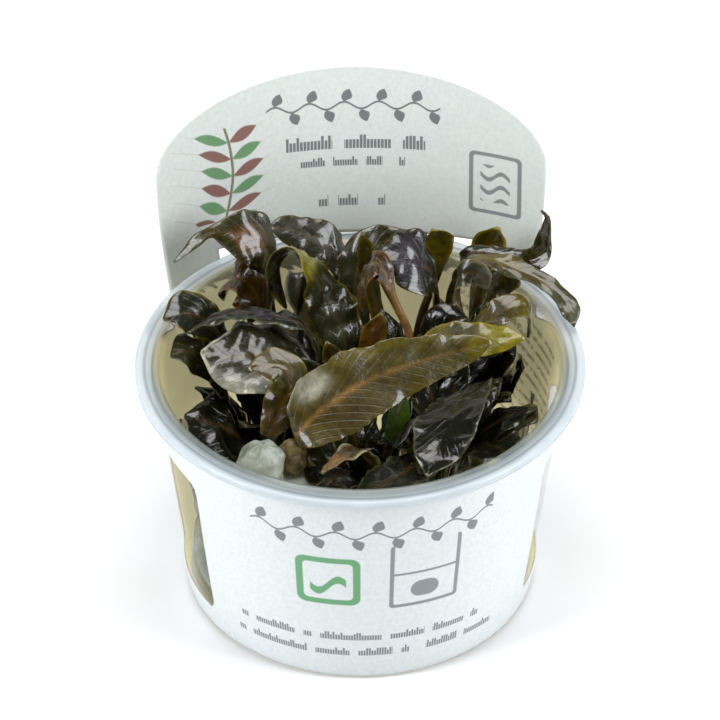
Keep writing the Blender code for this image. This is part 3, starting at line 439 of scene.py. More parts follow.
# foot is the angle at which a leaf leaves its rootstock, and a way lists the midrib's points above that,
# each with the blade's width there; side is the direction across the blade, turning evenly from the first
# given to the last; cup lifts the margins by that many degrees; wave is the height and number of the
# margin's large ripples, crinkle the height of its small ones, and hammer that of the swollen skin. The
# colours are those of skin, edge, under and stalk, margin is the width that edge tints and rib how clearly
# the midrib shows; wet is the roughness; marks are patches: (share of the length, place across from -1
# to 1, half length as a share, half width, colour, strength). USUAL holds what a leaf leaves out.
USUAL = dict(cup=8, wave=(0.3, 2), edge="yellow_olive", under="dark_olive", stalk="brown", wet=0.3,
             hammer=0.1, crinkle=0.22, margin=0.7, rib=0.5, marks=())
LEAVES = {
    "long_front": dict(crown="lump", foot=50, wave=(0.35, 3),
        way=[(-11.2, -14, 39.6, 3), (-10.4, -14.8, 41.4, 7.6), (-7.6, -13.2, 43.4, 11.4),
             (-3.4, -10.8, 45.2, 12.6), (1.8, -8.3, 46.5, 11.4), (8, -6, 47.4, 9.2), (14.5, -4, 47.9, 6.6),
             (19, -3, 48.4, 4), (21.8, -2.6, 49, 0.5)],
        side=[(-0.35, 0.6, 0.6), (-0.2, 0.65, 0.7)], skin="olive", under="brown",
        hammer=0.05, crinkle=0.07, margin=0.4, rib=0.9,
        marks=[(0.97, 0, 0.05, 1.5, "yellow_olive", 0.8), (0.3, 0.7, 0.06, 0.3, "white", 0.7),
               (0.38, -0.55, 0.09, 0.3, "brown", 0.5), (0.6, 0.85, 0.3, 0.2, "yellow_olive", 0.5)]),
    "folded_olive": dict(crown="lump", foot=130,
        way=[(-15.6, -12.6, 39, 3), (-13.6, -9.8, 42, 6.6), (-11.8, -6.4, 44.2, 6.2),
             (-12.8, -3.9, 45.8, 6.4), (-15.8, -3.2, 46, 5.4), (-18.8, -3.4, 45.6, 0.5)],
        side=[(-0.89, 0.13, 0.44), (-0.93, 0.07, 0.37), (-0.69, -0.72, -0.1), (-0.04, -0.75, -0.66)],
        skin="olive", under="grey_purple",
        marks=[(0.3, 0, 0.12, 1.5, "brown", 0.8)]),
    "yellow_edge": dict(crown="middle", foot=115, cup=-6, wave=(0.4, 3),
        way=[(10.5, 5.4, 30, 1.6), (10.4, 5.4, 40, 3.6), (13, 5, 43.2, 6), (18.6, 3.7, 44.6, 6.4),
             (23.5, 2.6, 45.6, 5), (27.6, 2, 46, 0.5)],
        side=[(-0.3, 0.8, 0.5), (0.1, 0.8, 0.5)],
        skin="yellow_olive", edge="yellow_green", under="olive", wet=0.35,
        marks=[(0.72, 0.2, 0.08, 0.8, "grey_purple", 0.7), (0.93, 0, 0.08, 1.5, "yellow_green", 0.7)]),
    "top_left": dict(crown="back", foot=165, cup=-12, wave=(0.4, 3),
        way=[(-13.2, 19.8, 34, 1.3), (-14.2, 21.4, 43, 1.6), (-14.3, 22.2, 48.6, 6),
             (-15.6, 22.4, 52.4, 9.6), (-18.4, 22.1, 54.3, 9), (-21.8, 22, 55.2, 5), (-24.2, 22, 55.2, 2),
             (-26.6, 21.5, 53.8, 2.2), (-28.6, 20.8, 52, 1.3), (-30.4, 20.3, 50.4, 0.4)],
        side=[(-0.5, -0.75, -0.35), (-0.4, -0.8, -0.4), (-0.2, -0.6, -0.7)],
        skin="dark_olive", edge="olive", wet=0.28,
        marks=[(0.72, 0.1, 0.08, 0.5, "orange", 0.7), (0.9, 0, 0.05, 1.5, "olive", 0.6),
               (0.98, 0, 0.06, 1.5, "grey_green", 0.6)]),
    "loop": dict(crown="back", foot=-60, cup=-10, wave=(0.3, 3),
        way=[(-2, 12, 34, 4), (-2.4, 12.5, 40, 8.4), (-4.6, 13.4, 46, 9.6), (-6.9, 14.1, 50.8, 8.8),
             (-8.9, 14.5, 54.6, 6.4), (-11, 14.7, 56.6, 5), (-13, 14.8, 55, 4), (-14, 14.6, 51.6, 3),
             (-13.3, 14.6, 48.2, 2.4), (-11.8, 14.6, 44.4, 0.6)],
        side=[(-0.93, -0.28, -0.26)] * 4 + [(-0.87, -0.48, -0.03), (-0.63, -0.66, 0.41), (-0.33, -0.6, 0.73),
                                            (-0.74, -0.52, 0.43), (-0.96, -0.21, 0.2)],
        skin="dark_olive", under="grey_purple", wet=0.22, hammer=0.18,
        marks=[(0.74, 0, 0.06, 1.5, "yellow_green", 0.9), (0.88, 0, 0.12, 1.5, "beige", 0.8),
               (0.5, 0.2, 0.12, 0.5, "grey_green", 0.6)]),
    "grey_tongue": dict(crown="back", foot=100,
        way=[(-6.8, 20, 30, 1.6), (-7.6, 21.4, 40, 5), (-8.2, 21.4, 45.2, 6), (-8.8, 19.6, 47.4, 5.6),
             (-9.6, 17.4, 44.8, 4.4), (-9.8, 17, 41.2, 0.5)],
        side=[(-1, -0.03, 0.06), (-0.99, -0.1, 0.12)],
        skin="beige", edge="pale", under="grey_purple", wet=0.35),
    "round_brown": dict(crown="left", foot=80, cup=-16,
        way=[(-15.8, 12.7, 28, 1.3), (-15.8, 15.8, 38, 4.4), (-16.4, 17.4, 44, 8.4), (-18, 18, 47.2, 9.6),
             (-20, 18, 48.4, 8.4), (-21.8, 17.8, 46.8, 5), (-22.4, 17.6, 44.2, 0.5)],
        side=[(-0.6, -0.75, -0.2)], skin="brown", edge="orange", under="brown", wet=0.18),
    "left_rim": dict(crown="left", foot=120, cup=6, wave=(0.4, 2),
        way=[(-20, 11.5, 32, 1.6), (-23, 12, 41, 5), (-26.5, 11.2, 45.6, 8), (-29.4, 10, 47.2, 8),
             (-32.5, 9, 47, 0.6)],
        side=[(-0.4, -0.9, -0.3), (-0.3, -0.9, -0.3)], skin="dark_grey", wet=0.18),
    "left_flat": dict(crown="left", foot=175, cup=-10, wave=(0.4, 2),
        way=[(-22, 9, 28, 1.6), (-24, 8.6, 35.4, 5), (-26.6, 7.4, 40.6, 7.6), (-29, 6, 42.2, 7.4),
             (-31.4, 5, 42.2, 0.6)],
        side=[(-0.3, -0.9, 0), (-0.3, -0.9, -0.2)],
        skin="dark_olive", edge="brown", under="brown", wet=0.25),
    "grey_long": dict(crown="left", foot=20, cup=-8, wave=(0.3, 4),
        way=[(-8, 7.5, 30, 1.6), (-6.6, 8.4, 39, 2.6), (-8.6, 8.9, 44, 4), (-12, 9.4, 46, 4.6),
             (-16.4, 9.6, 47, 4.6), (-20.6, 9.2, 47.4, 4), (-25, 8.2, 46.9, 2.6), (-28.4, 6.2, 46.2, 0.4)],
        side=[(-0.45, -0.89, -0.05), (-0.05, -0.99, 0.13), (-0.05, -0.99, 0.13)],
        skin="dark_grey", edge="grey_green", under="brown", wet=0.25,
        marks=[(0.72, 0, 0.06, 0.6, "purple", 0.6)]),
    # Its white edge and the white mark along its lower-left margin are a painted highlight.
    "big_left": dict(crown="left", foot=320, cup=-12, wave=(0.5, 3),
        way=[(-9, 3, 30, 1.6), (-9, 4.2, 38, 6.4), (-12.6, 4.2, 41.6, 12), (-17.4, 3.3, 42.9, 13.6),
             (-22, 3.4, 43.1, 11.6), (-26.4, 4.6, 43.2, 0.8)],
        side=[(0, -0.9, -0.5), (0, -0.9, -0.4)],
        skin="grey_purple", edge="white", wet=0.2, hammer=0.2, crinkle=0.3, margin=1.1,
        marks=[(0.75, 0.9, 0.2, 0.35, "white", 0.7)]),
    "dark_low_left": dict(crown="left", foot=250, cup=-8, wave=(0.5, 2),
        way=[(-17, -2, 24, 4), (-19.9, -4, 31, 12), (-23, -5, 34.5, 16), (-26.5, -5, 36, 12),
             (-29.5, -4.5, 37, 1)],
        side=[(0.2, -0.9, -0.2), (0.1, -0.9, -0.2)],
        skin="black_olive", edge="dark_olive", under="black_olive", wet=0.14, hammer=0.2),
    "small_orange": dict(crown="front", foot=90, cup=14, wave=(0.2, 1),
        way=[(2, 1, 32, 2), (2, 4, 41, 4), (2.4, 3.6, 46, 4.6), (3.2, 2.8, 50, 2.6), (3.6, 2.4, 52, 0.4)],
        side=[(1, 0, 0)], skin="orange", under="orange", stalk="orange", wet=0.35),
    "brown_droop": dict(crown="right", foot=250, cup=-10,
        way=[(9.4, 8.8, 34, 1.3), (8.7, 9.6, 42, 1.3), (7.3, 9.7, 46, 1.4), (5.7, 10.3, 50, 1.8),
             (4.6, 10.8, 54, 4.4), (3.1, 10.8, 56, 6.6), (1.5, 10.3, 54.2, 7), (0.6, 9.6, 50.6, 6),
             (0.6, 9.2, 47.4, 0.6)],
        side=[(-0.93, -0.28, -0.26)] * 2 + [(-0.92, -0.35, -0.19), (-0.35, -0.94, -0.02),
                                            (0.46, -0.88, 0.14)],
        skin="brown", edge="orange", under="brown", stalk="tan", wet=0.22, rib=1),
    # Its purple mark near the tip is a painted sheen: the blue-purple sheen on its fold.
    "purple_fold": dict(crown="right", foot=20, cup=-10, wave=(0.4, 3),
        way=[(13.6, 15, 32, 1.6), (13.8, 16.8, 43.6, 2), (13.2, 16.8, 48.4, 7.6), (11, 15.6, 52, 11.4),
             (7.8, 15.8, 54.2, 9.6), (4, 16.2, 54.4, 0.6)],
        side=[(0, -1, -0.3), (-0.1, -0.8, -0.6)],
        skin="dark_grey", edge="olive", under="grey_purple", wet=0.25,
        marks=[(0.85, 0.1, 0.1, 0.8, "purple", 0.6)]),
    "back_lobe": dict(crown="right", foot=75, wave=(0.2, 1),
        way=[(11, 21.5, 32, 1.6), (14.6, 24.2, 44, 1.6), (15, 24.2, 48.8, 4.6), (14.4, 23.4, 51.8, 5.2),
             (13.4, 22.4, 53.8, 0.6)],
        side=[(-1, 0, 0)], skin="yellow_olive", edge="yellow_green", under="olive"),
    "back_grey": dict(crown="back", foot=60, cup=-10, wave=(0.4, 3),
        way=[(-2, 22, 32, 1.8), (-1.4, 27, 42, 5), (-3.8, 28, 47.2, 7), (-8, 28.4, 49.6, 6.4),
             (-11.8, 28.6, 50.8, 4.4), (-14, 28.4, 51.2, 0.6)],
        side=[(-0.73, -0.47, -0.5), (-0.35, -0.71, -0.61), (-0.15, -0.82, -0.55)],
        skin="grey_purple", edge="olive", wet=0.28),
    "back_thin": dict(crown="back", foot=20, cup=-8,
        way=[(1.5, 19, 32, 1.8), (0.3, 22.6, 41, 6), (1.6, 24.6, 47, 7.6), (4.8, 25, 49.8, 6),
             (8.8, 24.6, 51, 3), (10.6, 24.4, 51.2, 0.5)],
        side=[(-0.5, 0.4, 0.6), (-0.3, 0.5, 0.7)], skin="dark_olive", edge="olive", wet=0.28),
    "back_tip": dict(crown="right", foot=140, wave=(0.2, 1),
        way=[(5, 17, 32, 1.6), (3, 20, 44, 3), (2.2, 21, 50, 3.4), (1.4, 21, 55, 0.4)],
        side=[(1, 0, 0)], skin="olive", under="olive"),
    "long_right": dict(crown="corner", foot=125, wave=(0.3, 4),
        way=[(15, 21, 30, 1.6), (18, 23.8, 42, 2.2), (20, 23.4, 48, 2.8), (25, 20.8, 49.4, 2.8),
             (29.2, 18.4, 50, 3.8), (31.3, 17.8, 51.4, 4), (31.9, 18.1, 54.5, 2.8), (32.4, 18.6, 57, 1.6),
             (32.4, 18.8, 58.6, 0.8), (31.4, 19, 59.6, 0.3)],
        side=[(0.3, 0.8, 0.4), (0.1, 0.8, 0.5), (-0.4, 0.6, 0.2), (-0.9, 0.2, 0)],
        skin="dark_grey", edge="olive", wet=0.25,
        marks=[(0.8, 0, 0.06, 1.5, "olive", 0.7)]),
    "right_lobe": dict(crown="corner", foot=70, cup=10, wave=(0.2, 1),
        way=[(20.4, 20.5, 32, 1.6), (21.8, 23.6, 43, 3.4), (23.4, 25, 48.6, 6), (24.8, 24.2, 52.8, 0.8)],
        side=[(0.9, -0.3, 0)], skin="yellow_olive", edge="yellow_green", under="olive"),
    "over_rim": dict(crown="corner", foot=165, wave=(0.3, 3),
        way=[(15, 17.6, 32, 1.6), (16.6, 19.4, 44, 2), (18.6, 18.8, 49, 3.4), (22.4, 17.6, 51, 4),
             (26.8, 16, 50.2, 4), (30.4, 14.4, 49.2, 3.4), (33, 12.6, 48.4, 3.2), (35, 10.2, 47.4, 3.6),
             (35.9, 7.6, 46.6, 3), (36.1, 5, 46, 0.5)],
        side=[(0.2, 0.9, 0.3), (0.6, 0.7, 0.1), (1, 0.1, 0.1)],
        skin="olive", edge="grey_green", under="olive",
        marks=[(0.95, 0, 0.12, 1.5, "grey_green", 0.8), (0.6, 0.4, 0.1, 0.6, "yellow_olive", 0.6)]),
    "grey_arch": dict(crown="corner", foot=210, cup=-8,
        way=[(17.6, 13.6, 34, 1.6), (17.6, 14.2, 42, 1.8), (17.2, 14.4, 47.4, 4), (17.8, 14.4, 50, 4.6),
             (19.8, 14.2, 50.8, 4.4), (21.5, 13.9, 49.4, 3.4), (22.1, 13.8, 47, 0.4)],
        side=[(-0.89, 0.13, 0.44), (-0.29, 0.42, 0.86), (0.75, 0.18, 0.63)],
        skin="grey_purple", edge="beige", under="brown"),
    "brown_right": dict(crown="corner", foot=20, cup=-8, wave=(0.4, 2),
        way=[(21, 17, 30, 2), (22, 18.4, 41, 4), (23.6, 18.4, 45, 7), (26, 17.6, 46.2, 6.4),
             (28, 16.6, 46.2, 0.8)],
        side=[(0.1, 0.8, 0.5), (0.2, 0.8, 0.5)], skin="brown", wet=0.25,
        marks=[(0.85, 0, 0.1, 1.5, "yellow_olive", 0.6)]),
    "olive_diagonal": dict(crown="middle", foot=75, wave=(0.3, 3),
        way=[(16.6, 7, 30, 1.6), (17.8, 9.3, 38.8, 3), (21.2, 10, 42.8, 4.6), (24.6, 10.7, 45, 5.2),
             (27, 11.2, 45.8, 5), (28.7, 11.2, 45.2, 4.2), (29.3, 10.9, 43, 3.6), (29.2, 10.5, 39.6, 0.5)],
        side=[(-0.1, 0.9, 0.4), (0, 0.9, 0.4)], skin="olive", wet=0.28,
        marks=[(0.95, 0, 0.12, 1.5, "yellow_olive", 0.9)]),
    "dark_tip": dict(crown="corner", foot=330,
        way=[(22.5, 11.5, 24, 2), (23.6, 12, 31, 5), (25.4, 13.2, 34.4, 5), (27.2, 14.6, 35.4, 0.6)],
        side=[(-0.5, 0.8, 0)], skin="dark_olive", edge="olive", wet=0.25),
    "dark_centre": dict(crown="right", foot=305, cup=-12, wave=(0.4, 2),
        way=[(12.3, 8, 26, 2), (13, 8.6, 35.6, 5.5), (14, 9.4, 40.8, 8.4), (15.8, 10, 43.4, 8),
             (17.8, 10.2, 44, 4), (19, 10.2, 43.6, 0.8)],
        side=[(-0.6, 0.5, 0.4)], skin="black_olive", edge="brown", under="brown", wet=0.12, hammer=0.2),
    "front_right": dict(crown="middle", foot=250, wave=(0.4, 3),
        way=[(14.6, -5, 26, 1.6), (17, -3.5, 37, 5), (17, -6.5, 42, 10), (14.6, -14, 43.4, 12),
             (12.4, -20, 42.6, 10.5), (10.8, -23.8, 41.2, 6.4), (9.5, -26.3, 40, 0.6)],
        side=[(0.9, 0.2, 0.3)], skin="black_olive", edge="grey_green", wet=0.14, rib=0, hammer=0.14),
    "grey_front": dict(crown="front", foot=340, cup=6, wave=(0.4, 3),
        way=[(7, -12, 24, 2.4), (8, -14, 32, 7), (6.6, -19.4, 35.6, 9), (2, -24, 36.4, 8),
             (-3, -26.6, 36.2, 0.8)],
        side=[(0.8, -0.5, 0.1), (0.6, -0.7, 0.1)], skin="dark_grey", edge="grey_green", wet=0.25),
    "tan_small": dict(crown="front", foot=280, cup=12,
        way=[(2.6, -14.8, 26, 1.4), (1.8, -15.8, 34, 2.2), (-1.6, -18.4, 39.6, 4.4),
             (-5.2, -22.4, 40.4, 3.6), (-7.5, -24.6, 40.3, 0.5)],
        side=[(0.7, -0.6, 0.2), (0.7, -0.6, 0.3)], skin="brown", edge="pale", under="brown",
        marks=[(0.95, 0, 0.1, 1.5, "tan", 0.8)]),
    "dark_right": dict(crown="middle", foot=290,
        way=[(18, -7.6, 22, 2.4), (20.7, -9, 31, 7), (22.6, -13, 34.6, 8), (23.6, -17, 35.6, 0.8)],
        side=[(0.8, 0.5, 0.1), (0.8, 0.5, 0.2)], skin="dark_grey", edge="grey_green", wet=0.2),
    "olive_right_low": dict(crown="middle", foot=5, cup=-8, wave=(0.4, 2),
        way=[(21, 1.6, 20, 2.4), (24, 0.5, 28, 8), (26.9, -1.4, 31.6, 8.5), (29.4, -4, 33, 0.8)],
        side=[(0.2, 0.9, 0.1), (0.4, 0.8, 0.1)],
        skin="dark_olive", edge="olive", under="black_olive", wet=0.22),
    "green_bit": dict(crown="front", foot=20, cup=10, wave=(0.2, 1),
        way=[(5, -7.4, 26, 1.8), (5.4, -7.4, 34, 3.4), (6.3, -7, 38, 3.4), (7.6, -6.4, 41, 0.4)],
        side=[(0.9, -0.4, 0.1)], skin="green", edge="green", under="green", wet=0.35),
    "dark_front_mid": dict(crown="front", foot=210, cup=-8, wave=(0.5, 2),
        way=[(-3.6, -11, 24, 2), (-3.6, -12.6, 30.4, 7.6), (-5, -17, 33.2, 11), (-7.4, -21.8, 33.8, 1)],
        side=[(0.9, -0.4, 0.1)],
        skin="black_olive", edge="brown", under="black_olive", wet=0.14, hammer=0.2),
    "orange_mid": dict(crown="front", foot=130, cup=12, wave=(0.2, 1),
        way=[(-3, 2, 30, 1.8), (-3.6, 4, 38, 3.4), (-4.6, 4.4, 42, 3.4), (-5.4, 4.2, 45, 0.4)],
        side=[(1, 0.2, 0)], skin="orange", under="brown", stalk="orange"),
    "beige": dict(crown="back", foot=230, cup=-8, wave=(0.4, 2),
        way=[(-10.4, 11.8, 28, 1.6), (-9.8, 12.2, 36, 5), (-11.6, 12.2, 40.2, 7), (-15, 12.2, 42, 6),
             (-18, 12.4, 42.4, 0.6)],
        side=[(0, -0.9, -0.4), (0, -0.9, -0.3)], skin="beige", edge="pale", under="brown"),
    "glossy_mid": dict(crown="front", foot=160, cup=10,
        way=[(-5, -2, 26, 2), (-7, 0, 36, 5), (-8.8, 0.8, 41, 6), (-9.6, 1, 44.2, 0.6)],
        side=[(0.9, 0.1, 0.1)], skin="dark_grey", edge="grey_green", wet=0.1, hammer=0.2),
    "wall_left": dict(crown="left", foot=200,
        way=[(-22, -2, 9.5, 3), (-26, -6, 12.5, 8), (-27.6, -7.5, 20, 10), (-28.6, -8, 28, 0.8)],
        side=[(0.25, -0.95, 0)], skin="olive", under="brown"),
    "wall_left_back": dict(crown="left", foot=150,
        way=[(-24, 9, 10, 3), (-27, 8, 14, 8), (-29, 6, 22, 9), (-30, 3, 30, 0.8)],
        side=[(-0.05, -1, 0)], skin="dark_olive", edge="olive"),
    "wall_right": dict(crown="middle", foot=325,
        way=[(21, -6, 9.6, 3), (25, -9, 13, 8), (27, -10, 20, 9), (28, -9, 28, 0.8)],
        side=[(0.3, 0.95, 0)], skin="olive"),
    "wall_right_back": dict(crown="middle", foot=35,
        way=[(22, 5, 10, 3), (26.4, 6, 14, 7), (28.6, 6.6, 22, 8), (29.6, 7, 30, 0.8)],
        side=[(0, 1, 0)], skin="brown", edge="olive"),
}


def through(knots, step):
    """Rows along a Catmull-Rom curve through the knots: each span is a cubic of its two ends and their
    neighbours. The steps are even along the leaf, apart from coarser ones in its bare stalk. Returns the
    rows and the distance along the leaf at each."""
    knots = np.asarray(knots, float)
    padded = np.vstack([2.0 * knots[0] - knots[1], knots, 2.0 * knots[-1] - knots[-2]])
    before, start, end, after = (padded[k:len(padded) - 3 + k, None] for k in range(4))
    t = np.linspace(0.0, 1.0, 24, endpoint=False)[None, :, None]
    fine = 0.5 * (2.0 * start + (end - before) * t + (2.0 * before - 5.0 * start + 4.0 * end - after) * t ** 2
                  + (3.0 * start - before - 3.0 * end + after) * t ** 3)
    fine = np.vstack([fine.reshape(-1, 4), knots[-1:]])
    lengths = np.linalg.norm(np.diff(fine[:, :3], axis=0), axis=1)
    weights = lengths * np.where(fine[1:, 3] < BARE_WIDTH, BARE_WEIGHT, 1.0)
    run = np.concatenate([[0.0], np.cumsum(weights)])
    even = np.linspace(0.0, run[-1], max(24, int(run[-1] / step)))
    rows = np.stack([np.interp(even, run, fine[:, k]) for k in range(4)], axis=1)
    return rows, np.interp(even, run, np.concatenate([[0.0], np.cumsum(lengths)]))


def leaf_foot(leaf):
    """The two lowest knots of a leaf: it leaves its rootstock sideways and turns up. A young leaf's way
    starts at the rootstock's top and has no such knots."""
    if "foot" not in leaf:
        return []
    turn = math.radians(leaf["foot"])
    out = np.array([math.cos(turn), math.sin(turn), 0.0])
    away = CROWN_RADIUS + GAP + 0.5 * STALK + 0.2
    start = np.array(CROWNS[leaf["crown"]]) + out * away + (0.0, 0.0, 1.2)
    return [(*start, STALK), (*(start + out * 0.6 + (0.0, 0.0, 3.5)), STALK)]


def unit(vectors):
    """Each row at length 1."""
    return vectors / np.linalg.norm(vectors, axis=-1, keepdims=True)


def leaf_surface(leaf, seed, step=ROW_STEP):
    """Points of a leaf, and its colour, wetness and own coordinates at each. A row is a ring round the
    blade: across = cos(turn) goes from one margin over the upper skin to the other and back beneath. It
    bends about the midrib as an arc of the cup angle, and its height above that is the sum of a groove
    over the midrib, the margin's large and small ripples, and the swelling of the skin between the side
    veins, whose lines run where (distance along - slant * distance out) is a whole number of steps."""
    chance = np.random.default_rng(seed)
    leaf = {**USUAL, **leaf}
    rows, run = through(leaf_foot(leaf) + list(leaf["way"]), step)
    middle, width = rows[:, :3], np.maximum(rows[:, 3], 0.25)[:, None]
    count = len(rows)
    share = np.linspace(0.0, 1.0, count)[:, None]
    along_leaf = unit(np.gradient(middle, axis=0))
    given = np.asarray(leaf["side"], float)
    at = np.linspace(0.0, 1.0, len(given))
    side = np.stack([np.interp(share[:, 0], at, given[:, k]) for k in range(3)], axis=1)
    side = unit(side - along_leaf * np.sum(side * along_leaf, axis=1)[:, None])
    upper = np.cross(along_leaf, side)

    widest = width.max()
    blade = smoothstep((width - STALK) / (0.35 * widest))
    blade = np.maximum(blade, smoothstep((share - 0.6) / 0.2))
    turn = full_turn(2 * HALF_COLUMNS)
    across = np.cos(turn)
    out = np.abs(across)
    half = 0.5 * width
    bend = math.radians(leaf["cup"]) * width / widest + 1e-6
    reach = half / bend * np.sin(bend * across)
    rise = half / bend * (1.0 - np.cos(bend * across))

    height, ripples = leaf["wave"]
    which = np.sign(across)
    large = height * np.sin(2.0 * math.pi * ripples * share + 0.9 * which)
    small = sum(0.7 ** k * np.sin(run[:, None] * chance.uniform(0.55, 1.0) * 1.5 ** k
                                  + which * chance.uniform(0, 3) + chance.uniform(0, 6)) for k in range(4))
    rise = rise + blade * width / widest * (large * out ** 2 + leaf["crinkle"] * small * out ** 3)
    reach = reach * (1.0 + 0.03 * blade * small * out ** 4)
    groove = np.exp(-(across * half / GROOVE_HALF) ** 2)
    veins = (run[:, None] - VEIN_SLANT * out * half) / VEIN_STEP + 0.25 * which
    swell = np.abs(np.sin(math.pi * veins)) ** 0.7 * (1.0 - out ** 4) * (1.0 - groove)
    lumps = sum(np.sin(chance.uniform(-1.3, 1.3) * across * half + chance.uniform(0.5, 1.5) * run[:, None]
                       + chance.uniform(0, 6)) for _ in range(5))
    hammer = leaf["hammer"]
    rise = rise + blade * (0.35 * hammer * swell + 0.7 * hammer * lumps * (1.0 - groove) - 0.1 * groove)

    thick = 0.5 * (STALK + (SKIN_THICK - STALK) * blade)
    thick = np.minimum(thick, 0.5 * np.maximum(width, 0.4))
    rib = 0.35 * thick * groove * blade * (np.sin(turn) < 0.0)
    lift = np.sign(np.sin(turn)) * np.abs(np.sin(turn)) ** 0.85 * (thick + 2.0 * rib)
    points = (middle[:, None, :] + side[:, None, :] * reach[:, :, None]
              + upper[:, None, :] * (rise + lift)[:, :, None])

    colour = {part: ink(COLOURS[leaf[part]]) for part in ("skin", "edge", "under")}
    below = smoothstep(0.5 - 2.5 * np.sin(turn))[..., None] * np.ones((count, 1, 1))
    margin = (smoothstep((out * half - half + leaf["margin"]) / 0.5) * blade)[..., None]
    tint = colour["skin"] * (1.0 - below) + colour["under"] * below
    tint = tint + (colour["edge"] - tint) * margin * EDGE_TINT
    rib_line = np.exp(-(across * half / RIB_HALF) ** 2) * blade * (1.0 - 0.8 * share)
    tint = tint + (ink(COLOURS["tan"]) - tint) * rib_line[..., None] * leaf["rib"]
    tint = tint + (ink(COLOURS[leaf["stalk"]]) - tint) * (1.0 - blade)[..., None]
    wet = leaf["wet"] + 0.0 * rise
    for place, place_across, long, wide, name, strength in leaf["marks"]:
        spot = np.exp(-((share - place) / long) ** 2 - ((across - place_across) / wide) ** 2)
        spot = (strength * smoothstep(1.6 * spot) * (np.sin(turn) > -0.2))[..., None]
        tint = tint + (ink(COLOURS[name]) - tint) * spot
    own = np.stack([across * half, run[:, None] + 0.0 * across, blade + 0.0 * across], axis=-1)
    tint = np.concatenate([tint, np.ones(tint.shape[:2] + (1,))], axis=-1)
    return points, {"tint": tint, "wet": wet, "own": own}


leaf_look, leaf_shader, leaf_place = new_look("wet_leaf", IOR=1.42, Coat_Roughness=0.05, Coat_Weight=0.6)
own = kept(leaf_place, "own", "Vector")
across_mm, along_mm, in_blade = own.axes()
out_mm = abs(across_mm)
mottle = own.noise(0.55, 3.0, 0.6)
grain = leaf_place.noise(2600.0, 2.0, 0.6)
vein_phase = (along_mm - out_mm * VEIN_SLANT) / VEIN_STEP + across_mm.math("SIGN", across_mm) * 0.25
vein_line = (abs(vein_phase.math("FRACT", vein_phase) - 0.5) * 2.0).rise(0.78, 1.0) * in_blade
fine_veins = own.node("ShaderNodeTexVoronoi", {"feature": "DISTANCE_TO_EDGE"}, {"Vector": own, "Scale": 1.6})
net = 1.0 - fine_veins.rise(0.0, 0.16)
crumple = own.noise(0.9, 4.0, 0.65)
tint = kept(leaf_place, "tint", "Color")
shade = mottle.rise(0.3, 0.7)
darker = tint.node("ShaderNodeMix", {"data_type": "RGBA", "blend_type": "MULTIPLY"},
                   {0: 1.0, 6: tint, 7: shade.blend((168, 166, 160), (255, 252, 244))}, output=2)
veined = darker.node("ShaderNodeMix", {"data_type": "RGBA", "blend_type": "ADD"},
                     {0: vein_line * 0.1 + net * 0.04, 6: darker, 7: (0.02, 0.018, 0.006, 1.0)}, output=2)
relief = crumple * 0.5 + grain * 0.02 - vein_line * 0.16 - net * 0.03
feed(leaf_shader,
     Base_Color=veined,
     Roughness=kept(leaf_place, "wet", "Fac") + (mottle - 0.5) * 0.18,
     Normal=dent(relief, 0.3, 0.0008))

for number, (name, leaf) in enumerate(LEAVES.items()):
    leaf_points, leaf_values = leaf_surface(leaf, number)
    blade_piece = surface("blade_" + name, leaf_points, leaf_look, **leaf_values)
    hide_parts("leaf_" + name)

# The young leaves
# Between the stalks of the grown leaves each plantlet has a tuft of short young ones, dark and wet, that
# fill the cup below its mouth. They stand round the top of the rootstock, the later the lower and wider.

YOUNG_LEAVES = 11
YOUNG_TURN = 137.5
YOUNG_START = 4.4
YOUNG_TALL = 40.0
YOUNG_DROP = 8.0
YOUNG_CLEAR = 2.4
YOUNG_STEP = 0.7
YOUNG_SKINS = ("black_olive", "dark_olive", "black_olive", "dark_grey")
YOUNG_SHARES = (0.0, 0.3, 0.6, 0.8, 0.93, 1.0)
YOUNG_REACHES = (0.0, 0.15, 0.4, 0.8, 1.25, 1.7)
YOUNG_WIDTHS = (1.3, 1.6, 4.4, 6.4, 4.6, 0.5)


def young_leaf(crown, number):
    """A leaf's values from its number in the tuft: its turn is that many golden angles, and the shares of
    its height and the reaches outwards make a way that leaves the rootstock upright and bends over. A way
    that would pass the cup's wall is drawn in."""
    late = number / (YOUNG_LEAVES - 1.0)
    turn = math.radians(YOUNG_TURN * number + 70.0 * len(crown))
    middle = np.array(CROWNS[crown])
    low = middle[2] + YOUNG_START
    high = YOUNG_TALL - YOUNG_DROP * late + 2.0 * math.sin(7.0 * number)
    reach = 0.9 + (4.0 + 4.5 * late) * np.array(YOUNG_REACHES)
    tall = low + (high - low) * np.array(YOUNG_SHARES)
    x = middle[0] + reach * math.cos(turn)
    y = middle[1] + reach * math.sin(turn)
    keep_in = np.minimum(1.0, (cup_inside(tall) - YOUNG_CLEAR) / np.hypot(x, y))
    width = (0.75 + 0.5 * late) * np.array(YOUNG_WIDTHS)
    way = np.stack([x * keep_in, y * keep_in, tall, width], axis=1)
    skin = YOUNG_SKINS[number % len(YOUNG_SKINS)]
    return dict(cup=-14, wave=(0.5, 2), way=way.tolist(), side=[(-math.sin(turn), math.cos(turn), 0.1)],
                skin=skin, edge="dark_olive", under="black_olive", wet=0.2, hammer=0.15)


for crown in CROWNS:
    if crown != "lump":
        tuft = []
        for number in range(YOUNG_LEAVES):
            young_points, young_values = leaf_surface(young_leaf(crown, number), number, YOUNG_STEP)
            tuft.append(surface("young_leaves_" + crown, young_points, leaf_look, **young_values))
        with bpy.context.temp_override(active_object=tuft[0], selected_editable_objects=tuft):
            bpy.ops.object.join()

# The card sleeve
# A sheet of white card, wrapped round the cup under the flange and printed on both faces. Each side has a
# rounded window, and a tall round-topped tab rises behind the plant, with a slot that the flange pokes
# through.

